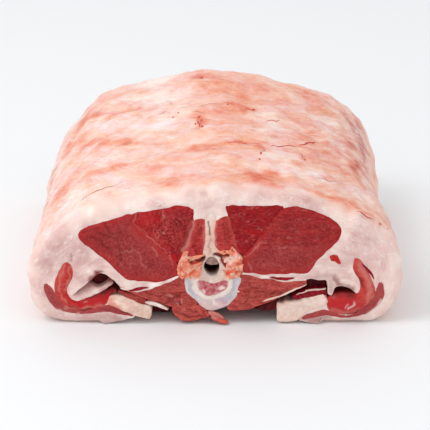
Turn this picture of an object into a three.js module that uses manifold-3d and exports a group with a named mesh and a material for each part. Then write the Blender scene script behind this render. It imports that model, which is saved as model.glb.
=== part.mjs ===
// Raw lamb chine: the double loin across the backbone, its two flaps folded underneath.
// Every muscle, bone and layer of the cut face is a bar that runs from the front cut to the rear cut.
// Millimetres, +X to the right of the front cut, +Y from the front cut to the rear one, +Z up.
// The origin is on the floor, below the middle of the joint's box.
import * as THREE from 'three';
import { mergeVertices } from 'three/addons/utils/BufferGeometryUtils.js';
import Module from 'manifold-3d';

const wasm = await Module();
wasm.setup();

// Driving dimensions of the whole joint.
const LENGTH = 210; // front cut to rear cut, along the backbone
const HALF_WIDTH = 106; // middle to the bulge of a folded flap
const HEIGHT = 81.6; // floor to ridge at the front cut
const REAR_RISE = 0.12; // share of the height that the ridge gains by the rear cut
const REAR_SKEW = 0.22; // how much more the left half rises than the right one
const REAR_DIP = 0.022; // share of the height that the back loses beside the ridge by the rear cut
const DIP_SPAN = 84; // half the breadth of the back that dips
const LEFT_TAPER = 0.028; // share of the width that the left side loses by the rear cut, at shoulder height
const RIGHT_TAPER = 0.045; // the same for the right side
const RIGHT_WAIST = 0.04; // share of the width that the right side draws in half way along
const SHOULDER_LOW = 0.16; // where the shoulders start, as a share of the height
const SHOULDER_SPAN = 0.78; // how far up they reach, as a share of the height
const SEAM_GAP = 0.3; // clearance between neighbouring pieces
const MEAT_PROUD = 0.6; // how far the soft meat and gristle swell out past both cuts
const TIP_REACH = 0.08; // share of the length that the tip of the skirt tag takes
const RIM_DEPTH = 8; // how far from a cut the fat starts to round over
const RIM_SHARE = 0.026; // share of the section that the rounding takes off at the cut
const BAND_RELIEF = 0.01; // height of the crosswise bands on the back, as a share of the height
const BAND_COUNT = 5; // crosswise bands along the back

// How finely the bars are divided.
const POINTS_PER_SPAN = 3; // outline points for each stretch between two drawn points
const BAR_STEPS = 2; // steps of an inner bar along the joint
const COVER_STEPS = 26; // steps of the fat cover along the joint
const CUTTER_OVERRUN = 4; // how far a cutter runs past both cuts

// The backbone and its canal, in the cross-section.
const SPINE_X = -2.3; // middle of the spinous process
const SPINE_HALF_WIDTH = 2.5; // half the thickness of the spinous process
const SPINE_TOP = 67.2; // height of its tip
const CANAL = { x: -1.5, z: 34.6, halfWidth: 4.9, halfHeight: 5.7 };
const CANAL_POINTS = 16;

// Colours and finishes.
const FINISH = {
  fat: { color: 0xf0d9d0, roughness: 0.5 },
  loin: { color: 0x9e3338, roughness: 0.4 },
  cap: { color: 0x8f2228, roughness: 0.4 },
  chineMuscle: { color: 0xb04048, roughness: 0.45 },
  bone: { color: 0xe6cdbb, roughness: 0.6 },
  cartilage: { color: 0xcdcbd2, roughness: 0.3 },
  marrow: { color: 0xb8687a, roughness: 0.45 },
  fillet: { color: 0xa83c3a, roughness: 0.4 },
  flank: { color: 0xc0403c, roughness: 0.35 },
  flankDeep: { color: 0x93303a, roughness: 0.4 },
  gristle: { color: 0xeadbc0, roughness: 0.45 },
};

// Carries a point of the cross-section along the joint: t is 0 at the front cut and 1 at the rear one.
// The section stands higher towards the rear, most at the ridge and not at all on the floor.
function along(x, z, t) {
  const crown = Math.max(0, 1 - (x / HALF_WIDTH) ** 4);
  const skew = 1 - REAR_SKEW * Math.sin((Math.PI * x) / HALF_WIDTH);
  const dip = Math.abs(x) < DIP_SPAN ? REAR_DIP * Math.sin((Math.PI * x) / DIP_SPAN) ** 2 : 0;
  return new THREE.Vector3(x, (t - 0.5) * LENGTH, z * (1 + t * (REAR_RISE * crown * skew - dip)));
}

// The outer surface also rounds over at both cuts, bears faint crosswise bands, and its sides lean in
// towards the rear. It shrinks towards the middle of its base, so the base stays on the floor.
function alongCover(x, z, t) {
  const fromCut = Math.max(0, Math.min(t, 1 - t)) * LENGTH;
  const inRim = Math.max(0, 1 - fromCut / RIM_DEPTH);
  const rim = 1 - RIM_SHARE * (1 - Math.sqrt(1 - inRim ** 2));
  const crown = Math.max(0, 1 - (x / HALF_WIDTH) ** 2);
  const ripple = 1 + BAND_RELIEF * crown * Math.sin(2 * Math.PI * BAND_COUNT * t);
  const upShoulder = THREE.MathUtils.clamp((z / HEIGHT - SHOULDER_LOW) / SHOULDER_SPAN, 0, 1);
  const shoulder = Math.sin(Math.PI * upShoulder) ** 2;
  const leftLean = LEFT_TAPER * t;
  const rightLean = RIGHT_TAPER * t + RIGHT_WAIST * Math.sin(Math.PI * t) ** 2;
  const lean = 1 - (x > 0 ? rightLean : leftLean) * shoulder;
  return along(x * rim * lean, z * rim * ripple, t);
}

// A closed smooth outline through a few drawn points [x, z].
function smooth(points) {
  const drawn = points.map(([x, z]) => new THREE.Vector3(x, z, 0));
  const curve = new THREE.CatmullRomCurve3(drawn, true, 'centripetal');
  const ring = curve.getPoints(points.length * POINTS_PER_SPAN).slice(0, -1);
  return ring.map((p) => new THREE.Vector2(p.x, p.y));
}

// The outline of a band: a smooth centre line through drawn points [x, z, half thickness].
function band(centre) {
  const drawn = centre.map((p) => new THREE.Vector3(...p));
  const curve = new THREE.CatmullRomCurve3(drawn, false, 'centripetal');
  const spans = (centre.length - 1) * POINTS_PER_SPAN;
  const sides = [[], []];
  for (let i = 0; i <= spans; i++) {
    const p = curve.getPoint(i / spans);
    const d = curve.getTangent(i / spans).setZ(0).normalize();
    sides[0].push(new THREE.Vector2(p.x - d.y * p.z, p.y + d.x * p.z));
    sides[1].push(new THREE.Vector2(p.x + d.y * p.z, p.y - d.x * p.z));
  }
  return [...sides[0], ...sides[1].reverse()];
}

// An outline moved outwards all round.
function grown(outline, distance) {
  const turn = Math.sign(THREE.ShapeUtils.area(outline));
  return outline.map((p, i) => {
    const before = outline[(i + outline.length - 1) % outline.length];
    const after = outline[(i + 1) % outline.length];
    const d = after.clone().sub(before).normalize();
    return new THREE.Vector2(p.x + turn * d.y * distance, p.y - turn * d.x * distance);
  });
}

// A geometry as a solid for joining and cutting.
function solidOf(geometry) {
  geometry.deleteAttribute('normal');
  geometry.deleteAttribute('uv');
  const merged = mergeVertices(geometry, 1e-4);
  return new wasm.Manifold(new wasm.Mesh({
    numProp: 3,
    vertProperties: new Float32Array(merged.attributes.position.array),
    triVerts: new Uint32Array(merged.index.array),
  }));
}

// A solid back as a geometry.
function geometryOf(solid) {
  const mesh = solid.getMesh();
  const geometry = new THREE.BufferGeometry();
  geometry.setAttribute('position', new THREE.BufferAttribute(new Float32Array(mesh.vertProperties), 3));
  geometry.setIndex(new THREE.BufferAttribute(new Uint32Array(mesh.triVerts), 1));
  geometry.computeVertexNormals();
  return geometry;
}

// An outline carried along the joint. Proud is how far both ends stand out past their cuts, and reach is
// the share of the length that the piece takes from the front.
function bar(outline, { proud = 0, reach = 1, steps = BAR_STEPS, place = along } = {}) {
  const shape = new THREE.Shape(outline);
  const geometry = new THREE.ExtrudeGeometry(shape, { depth: 1, steps, bevelEnabled: false });
  const position = geometry.attributes.position;
  const overrun = proud / LENGTH;
  for (let i = 0; i < position.count; i++) {
    const t = THREE.MathUtils.lerp(reach + overrun, -overrun, position.getZ(i));
    const p = place(position.getX(i), position.getY(i), t);
    position.setXYZ(i, p.x, p.y, p.z);
  }
  return solidOf(geometry);
}

// The room that a piece needs: its outline with the seam gap round it, run past both cuts.
function room(outline) {
  return bar(grown(outline, SEAM_GAP), { proud: CUTTER_OVERRUN });
}

// The outside of the whole section, with the hollows still filled and a flat base.
const sectionOutline = (() => {
  const shape = new THREE.Shape();
  shape.moveTo(-86, 0);
  shape.splineThru([
    [-97, 4.3], [-103.8, 13], [-HALF_WIDTH, 27], [-102.8, 40], [-95.8, 49.4], [-80, 63.2], [-64, 71],
    [-36, 77], [-1, HEIGHT], [25, 80.9], [47, 77.6], [65, 72.3], [79.6, 66.6], [94.4, 57.6],
    [101.3, 50], [105.3, 40], [HALF_WIDTH, 29], [104.6, 16.5], [99, 6.5], [90, 0],
  ].map(([x, z]) => new THREE.Vector2(x, z)));
  return shape.extractPoints(POINTS_PER_SPAN).shape;
})();

// All that is open or taken by other pieces below the loins: the hollow under the backbone, and the two
// side hollows, with the fat tag that hangs in the right one.
const hollowOutline = [
  [-66, -3], [-64, 0], [-45.5, 3.6], [-44, 8], [-58, 14.5], [-76.5, 13.2], [-79.4, 17.6], [-74.7, 21.9],
  [-70.1, 26.4], [-67.2, 29.7], [-64.4, 30.9], [-61, 30], [-58.4, 28], [-55.5, 25.5], [-53, 22.6], [-44, 20],
  [-31, 22], [-19, 30], [-15, 44], [-11, 60], [-6, 61], [-4, 63.6], [SPINE_X, 65.6], [-0.6, 63.6],
  [3, 62.4], [7, 61], [11, 46], [14, 30], [27, 26],
  [40, 24.4], [50, 25.6], [53, 27.6], [58, 26.8], [63.2, 27.6], [64.2, 18.5], [67.2, 17.2], [67.8, 23.2],
  [72, 23], [76.4, 21.6], [80.6, 19], [72, 14], [60, 15], [50, 11], [47.6, 2], [60, 0], [62, -3],
].map(([x, z]) => new THREE.Vector2(x, z));

// The large eye muscles of the loin, and the smaller muscle that caps each on its upper inner side.
const loinOutline = {
  left: smooth([
    [-75.8, 53.6], [-73.8, 57.6], [-68, 61], [-58, 63.6], [-45.6, 66.2], [-44.6, 61.4], [-40.4, 57],
    [-35, 52.6], [-31, 46.4], [-25, 42.8], [-21.8, 38], [-20.6, 34], [-23, 27.6], [-34.3, 25.2], [-46.7, 26.9],
    [-54.2, 31.9], [-67.6, 45.2], [-73.4, 49.6],
  ]),
  right: smooth([
    [39, 70.2], [51.5, 68.8], [60.7, 65.6], [69, 60.2], [70.4, 56.8], [67.8, 50], [58, 39.3],
    [52, 31.8], [42.8, 30.8], [30.5, 30.5], [21.3, 30.1], [16, 32], [15.4, 41], [24, 50.5],
  ]),
};
const capOutline = {
  left: smooth([[-45, 66.8], [-35, 68.8], [-28, 70.2], [-20, 71], [-11.9, 69.8], [-13, 60], [-16, 49.6],
    [-17.8, 43], [-21.4, 37.4], [-25.4, 43], [-31.4, 47], [-35.4, 53], [-40.8, 57.4], [-45, 61.8]]),
  right: smooth([[6.6, 71], [22.5, 71.4], [38.4, 70.8], [23.2, 51], [14.9, 42], [12.9, 49], [8.4, 64]]),
};

// The slim muscles on both sides of the spinous process.
const chineMuscleOutline = {
  left: smooth([[-12.2, 62.6], [-9, 63.6], [-5.3, 62.5], [-5, 46], [-10.4, 39.6], [-19.4, 40], [-17, 50]]),
  right: smooth([[6.4, 65.2], [2.8, 63.8], [0.6, 61], [0.6, 47], [5, 42.4], [15.4, 42.4], [13, 50],
    [9, 63.6]]),
};

// The vertebra: spinous process above, joint knobs beside the canal, round body below.
const vertebraOutline = smooth([
  [SPINE_X, SPINE_TOP], [SPINE_X - SPINE_HALF_WIDTH, 65], [SPINE_X - SPINE_HALF_WIDTH, 54],
  [SPINE_X - 3, 46], [-10, 40.2], [-14, 40.8], [-19.6, 38], [-20.2, 31.6], [-17.8, 29.4], [-12.8, 27],
  [-12.4, 22.4], [-8, 16.6], [-1.4, 14.7], [5.8, 16.6], [10.2, 22.4], [10.4, 27], [14, 30.4], [15.4, 33],
  [15, 40.6], [11.6, 43.6], [5.6, 42.6], [SPINE_X + 3, 46], [SPINE_X + SPINE_HALF_WIDTH, 54],
  [SPINE_X + SPINE_HALF_WIDTH, 65],
]);
const canalOutline = Array.from({ length: CANAL_POINTS }, (_, i) => {
  const angle = (2 * Math.PI * i) / CANAL_POINTS;
  return new THREE.Vector2(
    CANAL.x + CANAL.halfWidth * Math.cos(angle),
    CANAL.z + CANAL.halfHeight * Math.sin(angle),
  );
});
const marrowOutline = smooth([
  [-9.6, 26.6], [-1.4, 25], [7.4, 26.6], [6.6, 21.8], [2.6, 17.8], [-4.8, 17.8], [-8.6, 21.8],
]);
const cartilageOutline = smooth([
  [-16.6, 28.4], [-15.2, 20.2], [-9.3, 12.2], [-1.4, 8.2], [7.4, 11.6], [13, 19.6], [14, 29],
]);

// The fillets below the loins, and the tag of skirt meat that hangs under the backbone.
const filletOutline = {
  left: smooth([[-54, 22.8], [-44, 22.2], [-31, 24.2], [-20, 29.6], [-16, 28.6], [-14, 20], [-10, 12.4],
    [-12, 10.4], [-20, 9.8], [-31, 13], [-42, 17], [-50, 20.8]]),
  right: smooth([[14, 31], [18, 30], [27, 28.6], [40, 26.8], [52, 27], [47, 22.4], [40, 18.4], [26, 11.8],
    [13, 8.4], [7, 9], [8, 12.6], [12.6, 19.6]]),
};
const skirtTagOutline = smooth([
  [-24, 9.4], [-19.6, 3.6], [-12.5, 2.4], [-7, 4.2], [-3, 6], [-4.6, 9], [-8, 10.6], [-14, 9.4],
]);
const skirtTipOutline = smooth([
  [-10, 5.6], [-7, 4.2], [0, 2], [6.6, 0.9], [7.6, 2], [2.6, 5], [-1.6, 7.4], [-7, 8],
]);

// The flaps: an inner muscle open to the hollow, a thinner outer one in the fat, a gristle strip on top.
const flankOutline = {
  left: smooth([[-82.8, 37], [-80.2, 33], [-81.2, 26.4], [-83, 20.4], [-81, 15.8], [-76.6, 13.8],
    [-68, 16.5], [-59.6, 21], [-56, 20.6], [-58, 16.6], [-63.4, 11.6], [-73, 8.9], [-82.6, 9.8],
    [-89, 16.6], [-89.4, 26]]),
  right: smooth([[78.6, 40], [82.4, 38], [87.8, 28], [90.6, 18.8], [86, 11], [77, 6.6], [70.6, 6.2],
    [65, 8.8], [64.4, 15.6], [69, 17.8], [75, 17.6], [81, 19.4], [82.6, 24.6], [79.4, 33]]),
};
const deepFlankOutline = {
  left: band([[-95, 24, 0.7], [-93, 20, 2.1], [-91, 14.4, 2.2], [-86.6, 9.6, 1.6], [-79, 7.4, 0.8],
    [-70, 7.6, 0.8], [-62, 9.6, 1.9], [-55, 8.6, 2], [-46, 5.2, 0.7]]),
  right: band([[93.6, 25, 0.8], [93.4, 20, 2], [91.6, 13.6, 2], [86, 8.4, 1.6], [78, 5.2, 0.8],
    [70.6, 4.8, 0.8], [62, 7, 1.6], [55, 5.4, 1.3], [49.6, 3, 0.5]]),
};
const gristleOutline = {
  left: [[-59, 19.4], [-52, 18.8], [-35.2, 11.8], [-36.4, 5], [-41, 6.4], [-60, 14.6]]
    .map(([x, z]) => new THREE.Vector2(x, z)),
  right: [[35.2, 12.4], [48.3, 14.8], [62, 18.4], [64.6, 13.4], [55, 9.6], [46.4, 2], [36, 1.6]]
    .map(([x, z]) => new THREE.Vector2(x, z)),
};

const SIDES = ['left', 'right'];
const chine = new THREE.Group();

// Adds a solid to the group as a named piece with its own material. Crumbs that a cut leaves are dropped.
function piece(name, solid, finish) {
  const material = new THREE.MeshStandardMaterial({ ...FINISH[finish], metalness: 0 });
  const body = solid.decompose().sort((a, b) => b.volume() - a.volume())[0];
  const mesh = new THREE.Mesh(geometryOf(body), material);
  mesh.name = name;
  chine.add(mesh);
}

// The backbone is cut by its canal and by the marrow core, and the cartilage hugs it from below.
function addBackbone() {
  const canal = bar(canalOutline, { proud: CUTTER_OVERRUN });
  piece('backbone', bar(vertebraOutline).subtract(canal).subtract(room(marrowOutline)), 'bone');
  piece('marrow_core', bar(marrowOutline), 'marrow');
  piece('cartilage_ring', bar(cartilageOutline).subtract(room(vertebraOutline)), 'cartilage');
}

// The muscles of one side of the loin and of the fillet below it.
function addLoin(side) {
  const spineRoom = room(vertebraOutline);
  const loin = bar(loinOutline[side], { proud: MEAT_PROUD });
  const cap = bar(capOutline[side], { proud: MEAT_PROUD });
  const slim = bar(chineMuscleOutline[side]);
  const fillet = bar(filletOutline[side]);
  piece(`loin_${side}`, loin.subtract(spineRoom), 'loin');
  piece(`loin_cap_${side}`, cap.subtract(room(loinOutline[side])).subtract(spineRoom), 'cap');
  const besideSlim = room(loinOutline[side]).add(room(capOutline[side])).add(spineRoom);
  piece(`chine_muscle_${side}`, slim.subtract(besideSlim), 'chineMuscle');
  const aboveFillet = room(loinOutline[side]).add(spineRoom).add(room(cartilageOutline));
  piece(`fillet_${side}`, fillet.subtract(aboveFillet), 'fillet');
}

// The meat and gristle of one folded flap.
function addFlap(side) {
  const gristle = bar(gristleOutline[side], { proud: MEAT_PROUD });
  const flank = bar(flankOutline[side]).subtract(room(gristleOutline[side]));
  const deepFlank = bar(deepFlankOutline[side])
    .subtract(room(flankOutline[side]))
    .subtract(room(gristleOutline[side]));
  piece(`gristle_strip_${side}`, gristle, 'gristle');
  piece(`flank_${side}`, flank, 'flank');
  piece(`deep_flank_${side}`, deepFlank, 'flankDeep');
}

// The tag of skirt meat under the backbone, with a short tip that hangs at the front cut.
function addSkirtTag() {
  const above = room(cartilageOutline).add(room(filletOutline.left)).add(room(filletOutline.right));
  const tip = bar(skirtTipOutline, { proud: MEAT_PROUD, reach: TIP_REACH });
  const tag = bar(skirtTagOutline, { proud: MEAT_PROUD }).add(tip);
  piece('skirt_tag', tag.subtract(above), 'fillet');
}

// The fat: the whole section less the hollows and the room of every other piece.
function addFatCover() {
  const whole = bar(sectionOutline, { steps: COVER_STEPS, place: alongCover });
  const others = [vertebraOutline];
  for (const side of SIDES) {
    others.push(loinOutline[side], capOutline[side], chineMuscleOutline[side], filletOutline[side]);
    others.push(flankOutline[side], deepFlankOutline[side], gristleOutline[side]);
  }
  const hollow = bar(hollowOutline, { proud: CUTTER_OVERRUN });
  const cover = others.reduce((solid, outline) => solid.subtract(room(outline)), whole.subtract(hollow));
  piece('fat_cover', cover, 'fat');
}

addFatCover();
addBackbone();
SIDES.forEach(addLoin);
SIDES.forEach(addFlap);
addSkirtTag();

export default chine;
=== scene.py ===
# %% [markdown]
# # A raw lamb chine
#
# A chine is the double loin of a lamb, sawn straight across the back, so that both eye muscles and the
# backbone between them show at each end. The thin flaps of the belly are folded underneath.
# The plain solids of this joint are already there as a frame: every muscle is a bar from the front cut to
# the rear cut. This lesson grows the real surface over them: the uneven knife cut, the swelling meat, the
# fat with its papery skin, and the small scraps a saw leaves behind.

# %% Load the plain solids
import math

import bpy
import numpy as np
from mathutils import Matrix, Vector, geometry


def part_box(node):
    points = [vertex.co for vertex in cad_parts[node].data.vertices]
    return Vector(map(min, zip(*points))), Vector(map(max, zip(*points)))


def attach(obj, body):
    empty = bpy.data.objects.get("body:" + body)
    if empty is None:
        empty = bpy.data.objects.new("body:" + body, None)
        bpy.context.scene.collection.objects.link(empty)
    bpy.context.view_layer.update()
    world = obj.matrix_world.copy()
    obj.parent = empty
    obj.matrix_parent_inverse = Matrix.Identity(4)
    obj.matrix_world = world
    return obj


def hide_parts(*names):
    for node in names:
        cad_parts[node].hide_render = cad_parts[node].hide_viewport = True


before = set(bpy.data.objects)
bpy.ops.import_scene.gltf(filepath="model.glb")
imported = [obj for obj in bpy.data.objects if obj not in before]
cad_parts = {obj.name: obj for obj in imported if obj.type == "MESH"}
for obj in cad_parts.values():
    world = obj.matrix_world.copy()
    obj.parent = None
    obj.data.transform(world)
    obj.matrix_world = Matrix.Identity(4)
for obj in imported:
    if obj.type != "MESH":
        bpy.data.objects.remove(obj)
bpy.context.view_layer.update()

# %% [markdown]
# ## Sizes
#
# Meat is drawn in its cross-section, so the sums below work in millimetres: x to the right and z up in the
# section, y along the backbone. Only the finished mesh is turned into metres. The shares repeat the bend of
# the plain solids, because the section stands a little higher and leans in a little towards the rear.

# %% Sizes of the joint
MM = 0.001
low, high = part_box("fat_cover")
FRONT = low.y / MM
REAR = high.y / MM
LENGTH = REAR - FRONT
HALF_WIDTH = 106.0
HEIGHT = 81.6
REAR_RISE = 0.12
REAR_SKEW = 0.22
REAR_DIP = 0.022
DIP_SPAN = 84.0
LEFT_TAPER = 0.028
RIGHT_TAPER = 0.045
RIGHT_WAIST = 0.04
SHOULDER_LOW = 0.16
SHOULDER_SPAN = 0.78
RIM_SHARE = 0.026
BAND_RELIEF = 0.01
BAND_COUNT = 5


def lifted(x, z, t):
    """A section point t of the way along: its height grows with t, most at the ridge, none on the floor."""
    crown = np.maximum(0, 1 - (x / HALF_WIDTH) ** 4)
    skew = 1 - REAR_SKEW * np.sin(np.pi * x / HALF_WIDTH)
    dip = np.where(np.abs(x) < DIP_SPAN, REAR_DIP * np.sin(np.pi * x / DIP_SPAN) ** 2, 0)
    return np.stack([x, FRONT + t * LENGTH, z * (1 + t * (REAR_RISE * crown * skew - dip))], axis=-1)


def leaned(x, z, t):
    """A point of the skin: the sides draw in towards the rear, and the back bears faint crosswise bands."""
    crown = np.maximum(0, 1 - (x / HALF_WIDTH) ** 2)
    ripple = 1 + BAND_RELIEF * crown * np.sin(2 * np.pi * BAND_COUNT * t)
    shoulder = np.sin(np.pi * np.clip((z / HEIGHT - SHOULDER_LOW) / SHOULDER_SPAN, 0, 1)) ** 2
    right_lean = RIGHT_TAPER * t + RIGHT_WAIST * np.sin(np.pi * t) ** 2
    lean = np.where(x > 0, right_lean, LEFT_TAPER * t)
    return lifted(x * (1 - lean * shoulder), z * ripple, t)


print("front cut at", FRONT, "mm, rear cut at", REAR, "mm")

# %% [markdown]
# ## Unevenness
#
# Nothing on meat is straight. A sum of cosine waves in random directions is a cheap smooth noise that works
# on whole arrays and gives the same result each run. One wobble is shared by all pieces, so that muscles
# which lie against each other still do so afterwards.

# %% Smooth noise
WAVES = 28
BROAD_WOBBLE = 0.42
FINE_WOBBLE = 0.14


def waves(points, size, seed):
    """Smooth noise of about -1 to 1: a sum of cosine waves, each about the given size in mm."""
    rng = np.random.default_rng(seed)
    direction = rng.normal(size=(WAVES, points.shape[-1]))
    direction /= np.linalg.norm(direction, axis=1, keepdims=True)
    rate = 2 * np.pi / (size * rng.uniform(0.7, 1.5, WAVES))
    phase = rng.uniform(0, 2 * np.pi, WAVES)
    return np.cos(points @ (direction * rate[:, None]).T + phase).sum(axis=-1) * math.sqrt(1 / WAVES)


def smoothstep(low_edge, high_edge, value):
    """0 below the low edge, 1 above the high one, and an even S between them."""
    share = np.clip((value - low_edge) / (high_edge - low_edge), 0, 1)
    return share * share * (3 - 2 * share)


def wobbled(points):
    """Points moved sideways and up by the wobble that all pieces share. It dies out on the floor."""
    off_floor = smoothstep(0, 7, points[:, 2])
    moved = points.copy()
    for axis, seed in ((0, 11), (2, 13)):
        broad = BROAD_WOBBLE * waves(points, 13, seed) * off_floor
        fine = FINE_WOBBLE * waves(points, 4.5, seed + 1) * off_floor
        moved[:, axis] += broad + fine
    return moved


def cut_relief(section):
    """How far the knife wandered, in mm along y, at points (x, z) of a cut."""
    return 0.5 * waves(section, 30, 21) + 0.28 * waves(section, 10, 22) + 0.1 * waves(section, 3.6, 23)


print("noise of", WAVES, "waves")

# %% [markdown]
# ## Outlines from the frame
#
# Each solid's front cut is a flat patch of triangles. The edges that only one of those triangles uses are
# its outline. Following them end to end gives closed loops, which run with the material on their left.

# %% Read the outlines
FLAT_WITHIN = 0.01


def node_arrays(name):
    """A CAD node's corners in mm and its triangles, as arrays."""
    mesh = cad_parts[name].data
    mesh.calc_loop_triangles()
    corners = np.empty(len(mesh.vertices) * 3, np.float32)
    mesh.vertices.foreach_get("co", corners)
    triangles = np.empty(len(mesh.loop_triangles) * 3, np.int32)
    mesh.loop_triangles.foreach_get("vertices", triangles)
    return corners.reshape(-1, 3).astype(float) / MM, triangles.reshape(-1, 3)


def front_loops(name):
    """The closed outlines of a node's front cut as arrays of (x, z) in mm, the longest first."""
    corners, triangles = node_arrays(name)
    flat = (corners[triangles, 1] < corners[:, 1].min() + FLAT_WITHIN).all(axis=1)
    places, which = np.unique(np.round(corners[:, [0, 2]], 3), axis=0, return_inverse=True)
    used = which.reshape(-1)[triangles[flat]]
    edges = np.concatenate([used[:, [0, 1]], used[:, [1, 2]], used[:, [2, 0]]])
    forward = edges[:, 0] * len(places) + edges[:, 1]
    backward = edges[:, 1] * len(places) + edges[:, 0]
    following = dict(edges[~np.isin(forward, backward)].tolist())
    loops = []
    while following:
        start, after = following.popitem()
        chain = [start]
        while after in following:
            chain.append(after)
            after = following.pop(after)
        loops.append(places[chain])
    return sorted(loops, key=len, reverse=True)


def evened(loop, spacing, soften):
    """A closed outline with evenly spaced points. Its corners are softened by averaging with neighbours."""
    closed = np.vstack([loop, loop[:1]])
    run = np.concatenate([[0], np.cumsum(np.linalg.norm(np.diff(closed, axis=0), axis=1))])
    count = max(12, round(run[-1] / spacing))
    at = np.linspace(0, run[-1], count, endpoint=False)
    even = np.stack([np.interp(at, run, closed[:, axis]) for axis in (0, 1)], axis=1)
    for _ in range(soften):
        even = (np.roll(even, 1, 0) + 2 * even + np.roll(even, -1, 0)) / 4
    return even


def inward(loop):
    """Unit vectors into the material: the outline's direction turned a quarter to the left."""
    run = np.roll(loop, -1, 0) - np.roll(loop, 1, 0)
    run /= np.maximum(np.linalg.norm(run, axis=1, keepdims=True), 1e-9)
    return np.stack([-run[:, 1], run[:, 0]], axis=1)


for name in sorted(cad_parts):
    print(name, [len(loop) for loop in front_loops(name)])

# %% [markdown]
# ## A bar with cut ends
#
# Every piece except the small marks is built the same way. Its outlines are carried along the joint as a
# grid of walls, and a quarter circle at both ends rounds the edge. The two cuts are filled with a fine net of
# triangles, because a cut face needs points in its middle if the knife's unevenness and the swell of the meat
# are to show.

# %% Fill a cut
CHUNK = 3000
EDGE_CLEAR = 0.6


def chunks(count):
    """The numbers below count in parts of about CHUNK, which keeps the large arrays of distances small."""
    return np.array_split(np.arange(count), max(1, count // CHUNK))


def inside(points, loops):
    """True where a point has an odd number of outline edges to its right."""
    hit = np.zeros(len(points), bool)
    start = np.concatenate(loops)
    end = np.concatenate([np.roll(loop, -1, 0) for loop in loops])
    rise = end[:, 1] - start[:, 1]
    slope = (end[:, 0] - start[:, 0]) / np.where(rise == 0, 1, rise)
    for part in chunks(len(points)):
        z = points[part, 1][:, None]
        spans = (start[:, 1] > z) != (end[:, 1] > z)
        crossing = start[:, 0] + (z - start[:, 1]) * slope
        hit[part] = (spans & (points[part, 0][:, None] < crossing)).sum(axis=1) % 2 == 1
    return hit


def clearance(points, outline):
    """Distance from each point to the nearest outline point."""
    nearest = np.empty(len(points))
    for part in chunks(len(points)):
        gap = points[part][:, None, :] - outline[None]
        nearest[part] = np.sqrt((gap ** 2).sum(axis=2).min(axis=1))
    return nearest


def lattice(loops, spacing):
    """Points of a triangular lattice that lie inside the outlines and a little clear of them."""
    outline = np.concatenate(loops)
    low_corner, high_corner = outline.min(axis=0), outline.max(axis=0)
    rows = np.arange(low_corner[1], high_corner[1], spacing * math.sqrt(0.75))
    columns = np.arange(low_corner[0], high_corner[0], spacing)
    x, z = np.meshgrid(columns, rows)
    x = x + spacing / 2 * (np.arange(len(rows)) % 2)[:, None]
    points = np.stack([x.ravel(), z.ravel()], axis=1)
    points = points[inside(points, loops)]
    return points[clearance(points, outline) > EDGE_CLEAR * spacing]


def cut_net(loops, spacing):
    """Fill for a cut: its inner points, and triangles over outline points and inner points together."""
    outline = np.concatenate(loops)
    inner = lattice(loops, spacing)
    ends = np.cumsum([len(loop) for loop in loops])
    edges = []
    for loop, end in zip(loops, ends):
        ring = np.arange(end - len(loop), end)
        edges += np.stack([ring, np.roll(ring, -1)], axis=1).tolist()
    points = np.concatenate([outline, inner])
    made = geometry.delaunay_2d_cdt(points.tolist(), edges, [], 0, 1e-7)
    source = np.array([came[0] if came else -1 for came in made[3]])
    triangles = source[np.array(made[2])]
    triangles = triangles[(triangles >= 0).all(axis=1)]
    middles = points[triangles].mean(axis=1)
    return inner, triangles[inside(middles, loops)]


# %% Build a bar
EDGE_STEPS = 4
SWELL_FADE = 2.5
CUT_FADE = 4


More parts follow.
